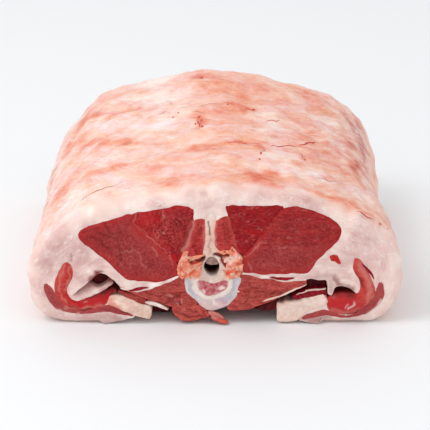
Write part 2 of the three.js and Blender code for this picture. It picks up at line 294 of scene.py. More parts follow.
def bar(loops, radius, proud, steps, spacing, dome=0.0, sink=None, reach=None):
    """A closed bar. Ring k of the wall is the outline moved in by radius (1 - sin a) at a depth of
    radius (1 - cos a) behind the cut, with a from 0 to a quarter turn, and plain in between. The cut swells
    by dome towards its middle, and sink says how deep it dips at a section point. A reach ends the bar that
    far behind the front cut."""
    outline = np.concatenate(loops)
    normal = np.concatenate([inward(loop) for loop in loops])
    radius = np.broadcast_to(radius, len(outline))
    angle = np.linspace(0, np.pi / 2, EDGE_STEPS)
    middle = np.linspace(0, 1, steps)[1:-1]
    shrink = np.concatenate([1 - np.sin(angle), 0 * middle, 1 - np.sin(angle[::-1])])
    depth_front = 1 - np.cos(angle)
    end = REAR + proud if reach is None else FRONT + reach
    first = FRONT - proud + radius[:, None] * depth_front
    last = end - radius[:, None] * depth_front[::-1]
    between = first[:, -1:] + (last[:, :1] - first[:, -1:]) * middle
    y = np.concatenate([first, between, last], axis=1)
    x = outline[:, :1] + normal[:, :1] * radius[:, None] * shrink
    z = np.maximum(outline[:, 1:] + normal[:, 1:] * radius[:, None] * shrink, 0)
    starts = np.cumsum([0] + [len(loop) for loop in loops])
    rims = [np.stack([x[a:b, 0], z[a:b, 0]], axis=1) for a, b in zip(starts, starts[1:])]
    inner, triangles = cut_net(rims, spacing)
    swell = dome * (1 - np.exp(-clearance(inner, np.concatenate(rims)) / SWELL_FADE))
    count, rings = x.shape
    section = np.concatenate([np.stack([x.ravel(), z.ravel()], axis=1), inner, inner])
    along = np.concatenate([y.ravel(), FRONT - proud - swell, end + swell])
    near_cut = np.exp(-np.maximum(0, LENGTH / 2 - np.abs(along)) / CUT_FADE)
    along = along + cut_relief(section) * near_cut
    if sink:
        along = along - np.sign(along) * sink(section) * near_cut
    points = lifted(section[:, 0], section[:, 1], (along - FRONT) / LENGTH)
    ring_of = np.arange(count * rings).reshape(count, rings)
    quads = []
    for a, b in zip(starts, starts[1:]):
        here = ring_of[a:b]
        there = np.roll(here, -1, axis=0)
        ring = np.stack([here[:, :-1], here[:, 1:], there[:, 1:], there[:, :-1]], axis=-1)
        quads.append(ring.reshape(-1, 4))
    front_point = np.concatenate([ring_of[:, 0], count * rings + np.arange(len(inner))])
    rear_point = np.concatenate([ring_of[:, -1], count * rings + len(inner) + np.arange(len(inner))])
    faces = np.concatenate(quads).tolist() + front_point[triangles].tolist()
    faces += rear_point[triangles][:, ::-1].tolist()
    return {"points": points, "faces": faces, "section": section, "along": along, "grid": (count, rings)}


# %% Seat a piece in the frame


def mesh_piece(name, shape, material, node, slot, **layers):
    """Puts a shape into a mesh object, with its extra arrays as point attributes, and seats it in the
    frame. A piece that stands for no solid has no node."""
    mesh = bpy.data.meshes.new(name)
    mesh.from_pydata((wobbled(shape["points"]) * MM).tolist(), [], shape["faces"])
    for layer, values in layers.items():
        kind = "FLOAT" if values.ndim == 1 else "FLOAT_VECTOR"
        stored = mesh.attributes.new(layer, kind, "POINT")
        field = "value" if values.ndim == 1 else "vector"
        stored.data.foreach_set(field, np.ascontiguousarray(values, np.float32).ravel())
    mesh.polygons.foreach_set("use_smooth", np.ones(len(mesh.polygons), bool))
    mesh.materials.append(material)
    mesh.update()
    piece = bpy.data.objects.new(name, mesh)
    bpy.context.scene.collection.objects.link(piece)
    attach(piece, "root")
    if node:
        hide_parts(node)
    print(name, len(mesh.vertices), "points", len(mesh.polygons), "faces")


# %% [markdown]
# ## Shader helpers
#
# A material is a chain of small steps. Writing each step as one call that returns its output socket keeps
# the chain readable from top to bottom.

# %% Short calls for shader nodes


class Chain:
    """Adds nodes to a node tree. Each call except feed returns an output socket."""

    def __init__(self, tree):
        self.tree = tree

    def add(self, kind, inputs=None, output=0, **settings):
        """A node of a kind, with its inputs fed and its settings set."""
        made = self.tree.nodes.new(kind)
        for key, value in settings.items():
            setattr(made, key, value)
        for key, value in (inputs or {}).items():
            self.feed(made.inputs[key], value)
        return made.outputs[output]

    def feed(self, socket, value):
        """Links a socket's value, or sets a plain one."""
        if isinstance(value, bpy.types.NodeSocket):
            self.tree.links.new(value, socket)
        else:
            socket.default_value = value

    def layer(self, name):
        """A painted layer of the mesh. One that the mesh doesn't have is 0."""
        return self.add("ShaderNodeAttribute", output=2, attribute_name=name)

    def place(self, stretch=(1, 1, 1)):
        """Object coordinates in mm, with each axis multiplied by its stretch."""
        spot = self.add("ShaderNodeTexCoord", output=3)
        scale = tuple(value / MM for value in stretch)
        return self.add("ShaderNodeMapping", {"Vector": spot, "Scale": scale})

    def noise(self, vector, size, detail=3.0, roughness=0.55, distortion=0.0):
        """Smooth noise of about 0 to 1, with spots of the given size in mm."""
        inputs = {"Vector": vector, "Scale": 1 / size, "Detail": detail, "Roughness": roughness,
                  "Distortion": distortion}
        return self.add("ShaderNodeTexNoise", inputs)

    def ridge(self, value):
        """How far a noise is from its middle value. It is near 0 along thin wandering lines."""
        return self.math("ABSOLUTE", self.math("SUBTRACT", value, 0.5))

    def ramp(self, value, low_edge, high_edge, low_out=0.0, high_out=1.0):
        """An even S from the low output to the high one while the value goes from edge to edge."""
        inputs = {"Value": value, "From Min": low_edge, "From Max": high_edge, "To Min": low_out,
                  "To Max": high_out}
        return self.add("ShaderNodeMapRange", inputs, interpolation_type="SMOOTHSTEP")

    def math(self, operation, first, second=0.0):
        """A calculation with two values. One that needs a single value leaves the second out."""
        return self.add("ShaderNodeMath", {0: first, 1: second}, operation=operation)

    def mix(self, share, first, second):
        """The first colour where the share is 0, the second where it is 1."""
        return self.add("ShaderNodeMix", {0: share, 6: first, 7: second}, output=2, data_type="RGBA")

    def tints(self, value, *stops):
        """A colour ramp with stops (position, colour)."""
        made = self.add("ShaderNodeValToRGB", {"Fac": value})
        elements = made.node.color_ramp.elements
        while len(elements) < len(stops):
            elements.new(1.0)
        for element, (position, tint) in zip(elements, stops):
            element.position = position
            element.color = tint
        return made

    def blend(self, *terms):
        """A sum of values, each a socket times its share."""
        total = None
        for value, share in terms:
            part = self.math("MULTIPLY", value, share)
            total = part if total is None else self.math("ADD", total, part)
        return total


def colour(red, green, blue):
    """A colour given as it looks on screen, 0 to 255, as the linear values that shaders use."""
    share = np.array([red, green, blue]) / 255
    linear = np.where(share <= 0.04045, share / 12.92, ((share + 0.055) / 1.055) ** 2.4)
    return (*linear.tolist(), 1.0)


def effect(name, inputs, outputs):
    """An empty shader node group with named sockets. Returns the group, its chain and its two ends."""
    group = bpy.data.node_groups.new(name, "ShaderNodeTree")
    for socket, kind, value in inputs:
        made = group.interface.new_socket(socket, in_out="INPUT", socket_type=kind)
        made.default_value = value
    for socket, kind in outputs:
        group.interface.new_socket(socket, in_out="OUTPUT", socket_type=kind)
    start = group.nodes.new("NodeGroupInput")
    end = group.nodes.new("NodeGroupOutput")
    return group, Chain(group), start.outputs, end.inputs


def material(name, **constants):
    """A new material with a Principled shader, its plain values set on the shader's own sockets."""
    made = bpy.data.materials.new(name)
    made.use_nodes = True
    shader = made.node_tree.nodes["Principled BSDF"]
    for socket, value in constants.items():
        shader.inputs[socket].default_value = value
    return made, Chain(made.node_tree), shader


# %% [markdown]
# ## Shared effects
#
# Lean meat is bundles of fibres that run along the back. Cut across, they show as a fine mottle, with a few
# thin paler lines of marbling. Both are noise drawn out along y, so that the same pattern turns into long
# fibres on the sides. Where a knife tore the meat, the bundles lie over as coarse streaks. Fat is layered: it
# shows faint streaks and a cloudy depth.

# %% Lean grain
FIBRE_STRETCH = (1, 0.12, 1)
lean_grain, chain, given, result = effect(
    "lean_grain",
    [("Grain Size", "NodeSocketFloat", 1.3)],
    [("Marbling", "NodeSocketFloat"), ("Mottle", "NodeSocketFloat"), ("Wet", "NodeSocketFloat"),
     ("Height", "NodeSocketFloat")],
)
spot = chain.place(FIBRE_STRETCH)
rate = chain.math("DIVIDE", 1.0, given["Grain Size"])
fine = chain.add("ShaderNodeTexNoise", {"Vector": spot, "Scale": rate, "Detail": 4.0, "Roughness": 0.75})
broad = chain.noise(spot, 7.0, 4.0, 0.6)
chain.feed(result["Mottle"], chain.ramp(chain.blend((fine, 0.72), (broad, 0.28)), 0.39, 0.61))
ridge = chain.ridge(chain.noise(spot, 8.0, 3.0, 0.6, 0.8))
sparse = chain.ramp(chain.noise(spot, 11.0, 2.0), 0.5, 0.66)
chain.feed(result["Marbling"], chain.math("MULTIPLY", chain.ramp(ridge, 0.016, 0.0), sparse))
chain.feed(result["Wet"], chain.ramp(chain.noise(spot, 2.6, 4.0, 0.65), 0.56, 0.7))
chain.feed(result["Height"], chain.blend((fine, 1.0), (broad, 0.8)))
print("effect", lean_grain.name)

# %% Torn fibres
torn_fibres, chain, given, result = effect(
    "torn_fibres",
    [("Streak Size", "NodeSocketFloat", 1.5)],
    [("Streaks", "NodeSocketFloat"), ("Threads", "NodeSocketFloat")],
)
rate = chain.math("DIVIDE", 1.0, given["Streak Size"])
turned = chain.add("ShaderNodeMapping", {"Vector": chain.place((0.34, 0.12, 1)), "Rotation": (0, 0.22, 0)})
streak = chain.add("ShaderNodeTexNoise", {"Vector": turned, "Scale": rate, "Detail": 5.0, "Roughness": 0.65,
                                          "Distortion": 1.2})
chain.feed(result["Streaks"], chain.ramp(streak, 0.38, 0.62))
ridge = chain.ridge(chain.noise(turned, 2.2, 3.0, 0.6, 1.0))
sparse = chain.ramp(chain.noise(chain.place(FIBRE_STRETCH), 4.0, 2.0), 0.46, 0.66)
chain.feed(result["Threads"], chain.math("MULTIPLY", chain.ramp(ridge, 0.03, 0.0), sparse))
print("effect", torn_fibres.name)

# %% Fat grain
fat_grain, chain, given, result = effect(
    "fat_grain",
    [("Lay", "NodeSocketVector", (0.0, 0.0, 0.0)), ("Streak Size", "NodeSocketFloat", 4.0)],
    [("Streaks", "NodeSocketFloat"), ("Strands", "NodeSocketFloat"), ("Cloud", "NodeSocketFloat"),
     ("Tint", "NodeSocketFloat"), ("Vessels", "NodeSocketFloat"), ("Height", "NodeSocketFloat")],
)
rate = chain.math("DIVIDE", 1.0, given["Streak Size"])
drawn_out = chain.add("ShaderNodeMapping", {"Vector": given["Lay"], "Scale": (0.45, 1.0, 1.0)})
streak = chain.add("ShaderNodeTexNoise", {"Vector": drawn_out, "Scale": rate, "Detail": 3.0,
                                          "Roughness": 0.5, "Distortion": 0.3})
chain.feed(result["Streaks"], streak)
long_drawn = chain.add("ShaderNodeMapping", {"Vector": given["Lay"], "Scale": (0.14, 1.0, 1.0)})
strand = chain.noise(long_drawn, 1.9, 4.0, 0.6, 0.5)
ridge = chain.ridge(strand)
spot = chain.place()
tufts = chain.ramp(chain.noise(spot, 5.0, 3.0), 0.4, 0.6)
chain.feed(result["Strands"], chain.math("MULTIPLY", chain.ramp(ridge, 0.035, 0.0), tufts))
cloud = chain.noise(spot, 10.0, 9.0, 0.76)
chain.feed(result["Cloud"], cloud)
chain.feed(result["Tint"], chain.ramp(chain.noise(drawn_out, 13.0, 4.0, 0.6), 0.4, 0.62))
branch = chain.ridge(chain.noise(drawn_out, 9.0, 5.0, 0.6, 1.0))
sparse = chain.ramp(chain.noise(spot, 19.0, 3.0), 0.5, 0.62)
chain.feed(result["Vessels"], chain.math("MULTIPLY", chain.ramp(branch, 0.011, 0.0), sparse))
fine = chain.noise(spot, 2.2, 4.0, 0.6)
chain.feed(result["Height"], chain.blend((streak, 0.8), (fine, 0.7), (cloud, 0.6)))
print("effect", fat_grain.name)


def placed(chain, group, **values):
    """Puts a shared effect into a material's tree with its own values."""
    made = chain.tree.nodes.new("ShaderNodeGroup")
    made.node_tree = group
    for socket, value in values.items():
        chain.feed(made.inputs[socket.replace("_", " ")], value)
    return made.outputs


# %% [markdown]
# ## Lean meat
#
# The muscles share one recipe and differ in their colours: the eye of the loin is a dusty red, its cap a
# deep crimson, the flank a fresh salmon red. Painted layers steer it: rim for the fresher edge of a muscle,
# torn for coarse streaks, pale for membrane and marbling and for a few painted highlights, white for traces
# of fat and for painted highlights on the glossy flanks, dark for darker meat and for painted shade in
# creases and under the edges of the flaps, fresh for bright meat, and wet for the places where juice stands.
# Lean meat drinks light, so its plain gloss is low and only the wet places shine.

# %% Lean finishes
CRIMSON = (126, 6, 16)
# Darker meat, and painted shade in creases and under edges.
DARK_MEAT_AND_SHADE = colour(84, 8, 14)
# Fascia and marbling, and painted highlights.
FASCIA_AND_HIGHLIGHT = colour(222, 150, 138)
# Traces of fat, and painted highlights on the glossy flanks.
FAT_AND_HIGHLIGHT_WHITE = colour(242, 216, 208)


def lean_finish(name, tones, grain_size=1.3, marbling=0.3, streak_size=1.5):
    """A lean meat: mottled between two reds, with the painted layers on top. The tones are the deep and the
    plain red, the edge, the fresh meat and the hollows of torn meat."""
    deep, plain, edge, bright, torn_deep = [colour(*tone) for tone in tones]
    made, chain, shader = material(
        name, **{"Subsurface Weight": 0.12, "Subsurface Scale": 0.002, "Coat Roughness": 0.12,
                 "Specular IOR Level": 0.12})
    shader.inputs["Subsurface Radius"].default_value = (1.0, 0.2, 0.14)
    grain = placed(chain, lean_grain, Grain_Size=grain_size)
    torn = placed(chain, torn_fibres, Streak_Size=streak_size)
    tone = chain.mix(grain["Mottle"], deep, plain)
    tone = chain.mix(chain.layer("rim"), tone, edge)
    coarse = chain.mix(torn["Streaks"], torn_deep, edge)
    coarse = chain.mix(chain.math("MULTIPLY", torn["Threads"], 0.45), coarse, FASCIA_AND_HIGHLIGHT)
    tone = chain.mix(chain.layer("torn"), tone, coarse)
    tone = chain.mix(chain.layer("fresh"), tone, bright)
    tone = chain.mix(chain.math("MULTIPLY", grain["Marbling"], marbling), tone, FASCIA_AND_HIGHLIGHT)
    # Pale paints membrane and painted highlights.
    tone = chain.mix(chain.layer("pale"), tone, FASCIA_AND_HIGHLIGHT)
    # White paints fat and painted highlights.
    tone = chain.mix(chain.layer("white"), tone, FAT_AND_HIGHLIGHT_WHITE)
    # Dark paints darker meat and painted shade.
    tone = chain.mix(chain.layer("dark"), tone, DARK_MEAT_AND_SHADE)
    chain.feed(shader.inputs["Base Color"], tone)
    damp = chain.blend((grain["Wet"], 0.2), (chain.layer("wet"), 1.0))
    chain.feed(shader.inputs["Roughness"], chain.ramp(damp, 0.0, 1.0, 0.52, 0.3))
    chain.feed(shader.inputs["Coat Weight"], chain.math("MULTIPLY", damp, 0.35))
    height = chain.blend((grain["Height"], 1.0), (torn["Streaks"], chain.layer("torn")))
    bump = chain.add("ShaderNodeBump", {"Strength": 0.45, "Distance": 0.0004, "Height": height})
    chain.feed(shader.inputs["Normal"], bump)
    return made


LEANS = {
    # name: (tones, then the grain size, the marbling and the streak size where they aren't the usual ones)
    "loin_meat": ([(138, 38, 42), (172, 68, 66), (180, 42, 44), (186, 10, 18), CRIMSON],),
    "cap_meat": ([(122, 9, 18), (192, 68, 66), (173, 33, 38), (190, 8, 16), CRIMSON], 1.3, 0.4, 1.0),
    "chine_meat": ([(134, 10, 20), (198, 60, 58), (206, 92, 86), (190, 20, 28), CRIMSON], 1.7, 0.4),
    "fillet_meat": ([(149, 42, 42), (192, 84, 77), (200, 88, 79), (214, 96, 76), (134, 34, 34)],),
    "flank_meat": ([(176, 34, 34), (210, 80, 70), (206, 80, 74), (188, 24, 32), (166, 30, 30)], 1.6, 0.2),
    "deep_flank_meat": ([(132, 36, 42), (182, 84, 84), (174, 74, 74), (170, 20, 34), CRIMSON], 1.4, 0.2),
    "sheet_meat": ([(112, 8, 24), (164, 28, 46), (150, 22, 38), (170, 20, 34), CRIMSON], 1.4, 0.2),
    # Hollows and gaps: meat darkened near black as painted shade.
    "shaded_hollow_meat": ([(58, 8, 12), (108, 24, 26), (112, 30, 32), (150, 16, 24), CRIMSON], 1.4, 0.0),
}
FINISHES = {name: lean_finish(name, *row) for name, row in LEANS.items()}
print("lean finishes:", sorted(FINISHES))

# %% [markdown]
# ## Fat and skin
#
# The outside of the fat wears a papery skin, blushed peach and salmon in crosswise bands. Where the fat is
# cut it is a clean warm white, a little grey and stringy at the sides. One material shows all of this: the
# painted layer cut says which of the two looks a point has. Blush adds the painted value to the streaks and
# clouds before a colour ramp turns the sum into a tint, so that every patch frays along the streaks.

# %% Fat finish


def fat_finish():
    """Fat with its skin: blushed outside, clean where it is cut, with dark marks and painted shade on top."""
    made, chain, shader = material(
        "fat", **{"Subsurface Weight": 0.18, "Subsurface Scale": 0.003, "Specular IOR Level": 0.25})
    shader.inputs["Subsurface Radius"].default_value = (1.0, 0.5, 0.4)
    lay = chain.add("ShaderNodeAttribute", output=1, attribute_name="lay")
    grain = placed(chain, fat_grain, Lay=lay)
    streaks, cloud = grain["Streaks"], grain["Cloud"]
    blush = chain.blend((chain.layer("blush"), 0.42), (streaks, 0.24), (cloud, 0.64))
    peach = chain.tints(
        blush, (0.46, colour(246, 228, 220)), (0.57, colour(244, 212, 198)), (0.68, colour(241, 190, 168)),
        (0.79, colour(236, 162, 134)), (0.90, colour(229, 132, 102)), (1.0, colour(210, 98, 72)))
    rose = chain.tints(
        blush, (0.46, colour(245, 230, 230)), (0.57, colour(242, 212, 208)), (0.68, colour(239, 188, 178)),
        (0.79, colour(234, 160, 142)), (0.90, colour(228, 130, 104)), (1.0, colour(210, 98, 74)))
    skin = chain.mix(grain["Tint"], peach, rose)
    skin = chain.mix(chain.math("MULTIPLY", grain["Vessels"], 0.5), skin, colour(190, 96, 78))
    mauve_mottle = chain.ramp(chain.blend((streaks, 0.2), (cloud, 0.8)), 0.4, 0.6, 0.3, 1.5)
    skin = chain.mix(chain.math("MULTIPLY", chain.layer("mauve"), mauve_mottle), skin, colour(190, 106, 98))
    clean = chain.blend((chain.layer("clean"), 0.6), (streaks, 0.4), (cloud, 0.3))
    face = chain.tints(
        clean, (0.35, colour(204, 158, 154)), (0.55, colour(226, 190, 184)), (0.75, colour(243, 217, 208)),
        (0.95, colour(254, 244, 238)))
    face = chain.mix(chain.math("MULTIPLY", grain["Strands"], 0.5), face, colour(254, 246, 240))
    tone = chain.mix(chain.layer("cut"), skin, face)
    # Dark paints specks and marks, and painted shade in the hollows and along the feet.
    tone = chain.mix(chain.layer("dark"), tone, colour(126, 40, 36))
    chain.feed(shader.inputs["Base Color"], tone)
    chain.feed(shader.inputs["Roughness"], chain.ramp(cloud, 0.3, 0.7, 0.42, 0.58))
    bump = chain.add("ShaderNodeBump", {"Strength": 0.5, "Distance": 0.0006, "Height": grain["Height"]})
    chain.feed(shader.inputs["Normal"], bump)
    return made


FINISHES["fat"] = fat_finish()
print("finishes:", sorted(FINISHES))

# %% [markdown]
# ## Bone and other firm pieces
#
# Bone, cartilage, marrow and gristle, and the blood and the veins on the skin, share a plainer recipe: two
# tones in clouds of a given size, with the painted layers on top.

# %% Firm finishes
SALMON = (222, 88, 64)
PEACH = (240, 164, 134)


def hard_finish(name, base, other, bright, rough, size):
    """A firm piece: two tones in clouds, a bright tone where fresh, and pale and dark marks with painted
    light and shade.
    """
    base, other, bright = colour(*base), colour(*other), colour(*bright)
    made, chain, shader = material(
        name, **{"Subsurface Weight": 0.15, "Subsurface Scale": 0.002, "Specular IOR Level": 0.12})
    shader.inputs["Subsurface Radius"].default_value = (1.0, 0.5, 0.4)
    spot = chain.place((1, 0.4, 1))
    cloud = chain.ramp(chain.noise(spot, size, 6.0, 0.7), 0.36, 0.64)
    tone = chain.mix(cloud, base, other)
    tone = chain.mix(chain.layer("fresh"), tone, bright)
    tone = chain.mix(chain.layer("pale"), tone, colour(246, 232, 224))
    tone = chain.mix(chain.layer("dark"), tone, colour(76, 14, 12))
    chain.feed(shader.inputs["Base Color"], tone)
    chain.feed(shader.inputs["Roughness"], chain.ramp(cloud, 0.0, 1.0, rough - 0.08, rough + 0.1))
    fine = chain.noise(spot, 1.6, 4.0, 0.6)
    bump = chain.add("ShaderNodeBump", {"Strength": 0.5, "Distance": 0.0004, "Height": fine})
    chain.feed(shader.inputs["Normal"], bump)
    return made


HARDS = [
    # name, base tone, other tone, bright tone, roughness, size of the clouds in mm
    ("bone", (236, 218, 206), (218, 188, 174), PEACH, 0.5, 3.2),
    ("knob", (248, 170, 142), (234, 128, 103), SALMON, 0.5, 2.4),
    ("marrow", (176, 68, 80), (208, 132, 134), SALMON, 0.42, 2.2),
    ("cartilage", (174, 174, 190), (206, 200, 204), SALMON, 0.3, 5.0),
    ("gristle", (244, 218, 202), (226, 188, 172), SALMON, 0.42, 5.0),
    ("sheath", (140, 108, 102), (182, 152, 142), SALMON, 0.4, 3.2),
    ("blood", (186, 44, 32), (214, 98, 76), SALMON, 0.4, 5.0),
    ("vein", (178, 120, 110), (214, 158, 144), SALMON, 0.45, 5.0),
]
for row in HARDS:
    FINISHES[row[0]] = hard_finish(*row)
print("finishes:", sorted(FINISHES))

# %% [markdown]
# ## Painting
#
# Marks on the cut are soft strokes between two points of the section. Each stroke fades out over its width.
# A line through several points is a chain of strokes.

# %% Strokes
STROKE_WANDER = 0.45


def line(width, strength, *points):
    """Strokes (x0, z0, x1, z1, width, strength) through points of the section."""
    return [(*a, *b, width, strength) for a, b in zip(points, points[1:])]


def strokes(section, marks):
    """Paint from 0 to 1: the strongest of the strokes at each point, each fading as exp(-r * r), with r the
    gap as a share of its width."""
    paint = np.zeros(len(section))
    wander = np.stack([waves(section, 5, 31), waves(section, 5, 32)], axis=1) * STROKE_WANDER
    for x0, z0, x1, z1, width, strength in marks:
        start, run = np.array([x0, z0]), np.array([x1 - x0, z1 - z0])
        offset = section + wander - start
        share = np.clip(offset @ run / max(run @ run, 1e-9), 0, 1)
        gap = np.linalg.norm(offset - share[:, None] * run, axis=1)
        paint = np.maximum(paint, strength * np.exp(-(gap / width) ** 2))
    return paint


# %% Paint of the lean
LEAN_PAINT = {
    "pale": (
        line(0.3, 0.3, (-43.6, 66), (-44.4, 61.3), (-43.4, 59.2), (-40, 56.6), (-35, 52.6), (-30.8, 46))
        + line(0.3, 0.45, (-38, 55), (-35, 52.6), (-30.8, 46), (-25.6, 43.2), (-25.1, 40), (-23.2, 36.7))
        + line(0.35, 0.25, (-52, 43), (-49.6, 44.7), (-45, 44.7), (-42, 43), (-40.7, 37.8), (-38.2, 33.5))
        + line(0.6, 0.4, (-28.4, 68.3), (-28, 64.5))
        + line(0.7, 0.5, (-27.8, 56), (-27.4, 55.6))
        + line(0.4, 0.3, (-34, 47.4), (-32, 42))
        + line(0.5, 0.3, (15.7, 41), (19.7, 43.1), (24.6, 48.2), (28.6, 49.5))
        + line(0.5, 0.3, (18.2, 37.8), (20.7, 33))
        + line(0.45, 0.25, (35.6, 46.9), (41, 46.9))
        + line(0.5, 0.5, (-27, 17.8), (-22.5, 16.7))
        # A painted highlight on the skirt.
        + line(0.5, 0.7, (-19.4, 15.6), (-18.4, 12.8))
        + line(0.5, 0.5, (-22, 14), (-20.6, 11))
        + line(0.7, 0.6, (0.6, 60), (0.7, 47))
        + line(0.6, 0.5, (-5.4, 60), (-5.2, 47))
        + line(1.3, 0.5, (-12.4, 62), (-14.6, 53), (-17.2, 45))
        + line(0.7, 0.35, (-84, 35), (-87, 28), (-87.6, 20), (-84, 12.6))
        + line(0.4, 0.4, (-81.6, 35), (-82, 27), (-83.6, 21))
        # Painted highlights along the outer finger of the right flank.
        + line(1.8, 0.5, (82, 37), (86, 29), (88, 22), (86.6, 15))
        + line(1.6, 0.3, (66, 9), (74, 7.6), (81, 9.4))
        + line(0.7, 0.45, (-84.6, 9.6), (-77, 9.4), (-70, 9.8), (-63.6, 12))
        + line(0.6, 0.4, (70, 7), (78, 7.6), (85, 11.6), (89.6, 18))
        # A painted highlight on the tip of the skirt.
        + line(0.8, 0.7, (-2, 5.8), (1.6, 4.6))
    ),
    "dark": (
        # Creases painted dark with shade, and darker meat.
        line(0.7, 0.5, (-60.8, 61.3), (-58.4, 56), (-55.4, 54.9))
        + line(0.7, 0.4, (-63.9, 54.4), (-56, 52.2))
        + line(0.8, 0.42, (-68.9, 52.8), (-63.5, 50.6), (-61.6, 47.4), (-58.1, 43.1))
        + line(0.7, 0.25, (-70, 57), (-64, 57.4))
        + line(0.6, 0.4, (-54, 47), (-52, 40), (-54, 36))
        + line(0.8, 0.45, (-12.4, 66), (-14.2, 57), (-18, 47), (-21, 40))
        + line(0.7, 0.35, (-9.4, 60), (-10.8, 48))
        + line(0.7, 0.35, (5.2, 61), (6.8, 47))
        + line(0.5, 0.5, (-25, 42.6), (-22.2, 43.4), (-20, 40.4))
        + line(0.6, 0.6, (-81.6, 10.4), (-76, 9), (-70, 8.8))
        + line(1.2, 0.3, (-62, 9.6), (-48, 6.4))
        + line(0.6, 0.6, (86.6, 11.6), (80, 8.2), (74, 6.8))
        + line(0.5, 0.6, (-21, 7), (-14, 4.4), (-8, 4.6))
        + line(0.5, 0.5, (-16, 8.4), (-9, 6.6), (-4, 5.6))
        + line(0.5, 0.5, (-30, 20), (-24, 15), (-18, 11))
        + line(0.5, 0.4, (-40, 20), (-30, 16.6))
        + line(0.5, 0.4, (20, 24), (30, 19), (40, 20.6))
        + line(0.5, 0.4, (16, 14), (24, 17))
        # Painted shadow of the right hollow on the top of the lobe.
        + line(2.4, 0.75, (66, 19), (78, 18.6))
        + line(0.7, 0.5, (80.6, 31), (82, 27), (84, 23))
        + line(1.7, 0.5, (-71, 16), (-62, 19))
        # Painted shadow line under the rim of the left shelf.
        + line(1.9, 0.9, (-63, 19.6), (-59, 21), (-55, 22.4))
        + line(4.0, 0.22, (-16.6, 62), (-20, 46))
        + line(0.7, 0.6, (-38.3, 13.6), (-28.4, 12.5), (-22.9, 15.4), (-17.3, 20))
    ),
    "fresh": (
        line(2.6, 0.55, (-40, 62.4), (-33, 63.6))
        + line(1.4, 0.65, (-23.4, 41.8), (-21.4, 41.6), (-22.4, 40))
        + line(1.5, 0.4, (18.6, 57), (26.6, 53.8))
        + line(2.4, 1.0, (-81.6, 18), (-79, 13.8), (-75, 11.8), (-69, 13.2), (-63, 15.8), (-58.4, 18.6))
        + line(5.0, 1.0, (67, 13), (77, 12.6))
        + line(2.0, 0.8, (80, 18), (78, 14))
        + line(1.6, 0.7, (-1.0, 4.4), (2, 3.6), (7, 1.6))
        + line(0.8, 0.5, (-22, 5.6), (-16, 3.4), (-9, 4.4))
    ),
    "white": (
        # Painted highlights on the glossy right lobe.
        line(0.5, 0.75, (75.8, 10.6), (76.6, 11.4), (78.2, 13.4), (78.8, 14.4))
        + line(0.35, 0.6, (74, 11.6), (75.4, 13.2))
        # A painted highlight on the left flank.
        + line(0.3, 0.4, (-74, 12.8), (-72, 13))
        # Traces of fat.
        + line(0.8, 0.7, (-90, 9.4), (-86, 7), (-80, 4.8), (-70, 5), (-62, 6.2))
        + line(0.8, 0.7, (87, 6.6), (90.8, 9.2), (94.6, 14.6))
    ),
    "wet": (
        line(4.5, 1.0, (66, 12), (80, 13))
        + line(1.8, 0.6, (-79, 15), (-72, 12.4), (-64, 14.6))
        + line(1.2, 0.6, (-39, 62.5), (-35, 63.5))
        + line(1.5, 0.4, (-20, 6), (-8, 6))
    ),
}
print("strokes on the lean:", {name: len(marks) for name, marks in LEAN_PAINT.items()})

# %% Paint of the bones, the strips and the fat
BONE_PAINT = {
    "pale": (
        line(3.0, 0.4, (-2.3, 72), (-2.4, 60))
        + line(1.0, 0.25, (-8.2, 37), (-7.4, 30.4), (-1.5, 27.4), (4.4, 30.4), (5.2, 37))
        + line(1.4, 0.85, (-11, 26.5), (-9.8, 20), (-5.6, 16.4), (-1.4, 15.6), (3.6, 16.8), (8, 21),
               (9.2, 26.6))
        + line(1.8, 0.7, (8, 39), (12.6, 42.6))
        + line(0.7, 0.9, (-5.8, 20), (-5.6, 19.2))
        + line(0.8, 0.9, (2.5, 21.1), (4.6, 22.2))
        + line(0.6, 0.9, (-1.6, 14), (1.5, 11.3))
        + line(0.9, 0.45, (-16.4, 27), (-15, 20), (-9.3, 12.4), (-1.4, 8.6), (7.2, 11.8), (12.8, 19.6),
               (13.8, 28))
        + line(3.2, 0.5, (-9, 13.6), (-1.4, 10.6), (2, 11))
        # Painted light on the right strip, which lies brighter than the left one.
        + line(4.0, 0.4, (38, 7.6), (62, 16))
    ),
    "dark": (
        line(0.5, 0.7, (-3.2, 61.1), (-2.4, 54.4))
        + line(0.4, 0.25, (-2.4, 54.4), (-2.7, 43))
        # Cracks of the backbone, painted dark as shade in the gaps.
        + line(1.1, 0.95, (-13.6, 36.3), (-6.8, 40.3))
        + line(0.7, 0.95, (0.5, 41.4), (7.7, 41.6))
        + line(0.9, 0.9, (4.3, 39.4), (6.4, 35.2))
        + line(1.6, 0.16, (-7.4, 37), (-6.8, 31), (-1.5, 28.4), (3.6, 31), (4.4, 37))
        # Painted shade along the top edge of the right strip.
        + line(1.3, 0.8, (36, 14), (44, 15.2), (52, 16.6))
        + line(0.5, 0.08, (38, 5), (60, 14.4))
        + line(0.5, 0.08, (40, 8.6), (62, 16.4))
        + line(0.5, 0.08, (-57, 16.4), (-38, 7.6))
        + line(0.5, 0.1, (-56, 17.8), (-40, 11.2))
    ),
    "fresh": (
        line(1.6, 0.5, (-5.4, 66), (-5.4, 50), (-8, 43))
        + line(1.8, 0.65, (0.8, 62), (0.8, 50), (2.6, 44))
        + line(2.4, 0.4, (-2.6, 58), (-2.6, 44))
        + line(1.2, 0.4, (64.4, 15), (63, 17.6))
        + line(1.8, 0.5, (-61.8, 17.4), (-58.6, 14.2))
        + line(1.6, 0.6, (-59, 12.6), (-54, 9.6))
        + line(3.2, 0.4, (-6, 12.2), (0, 10.6), (4, 11.6))
    ),
}
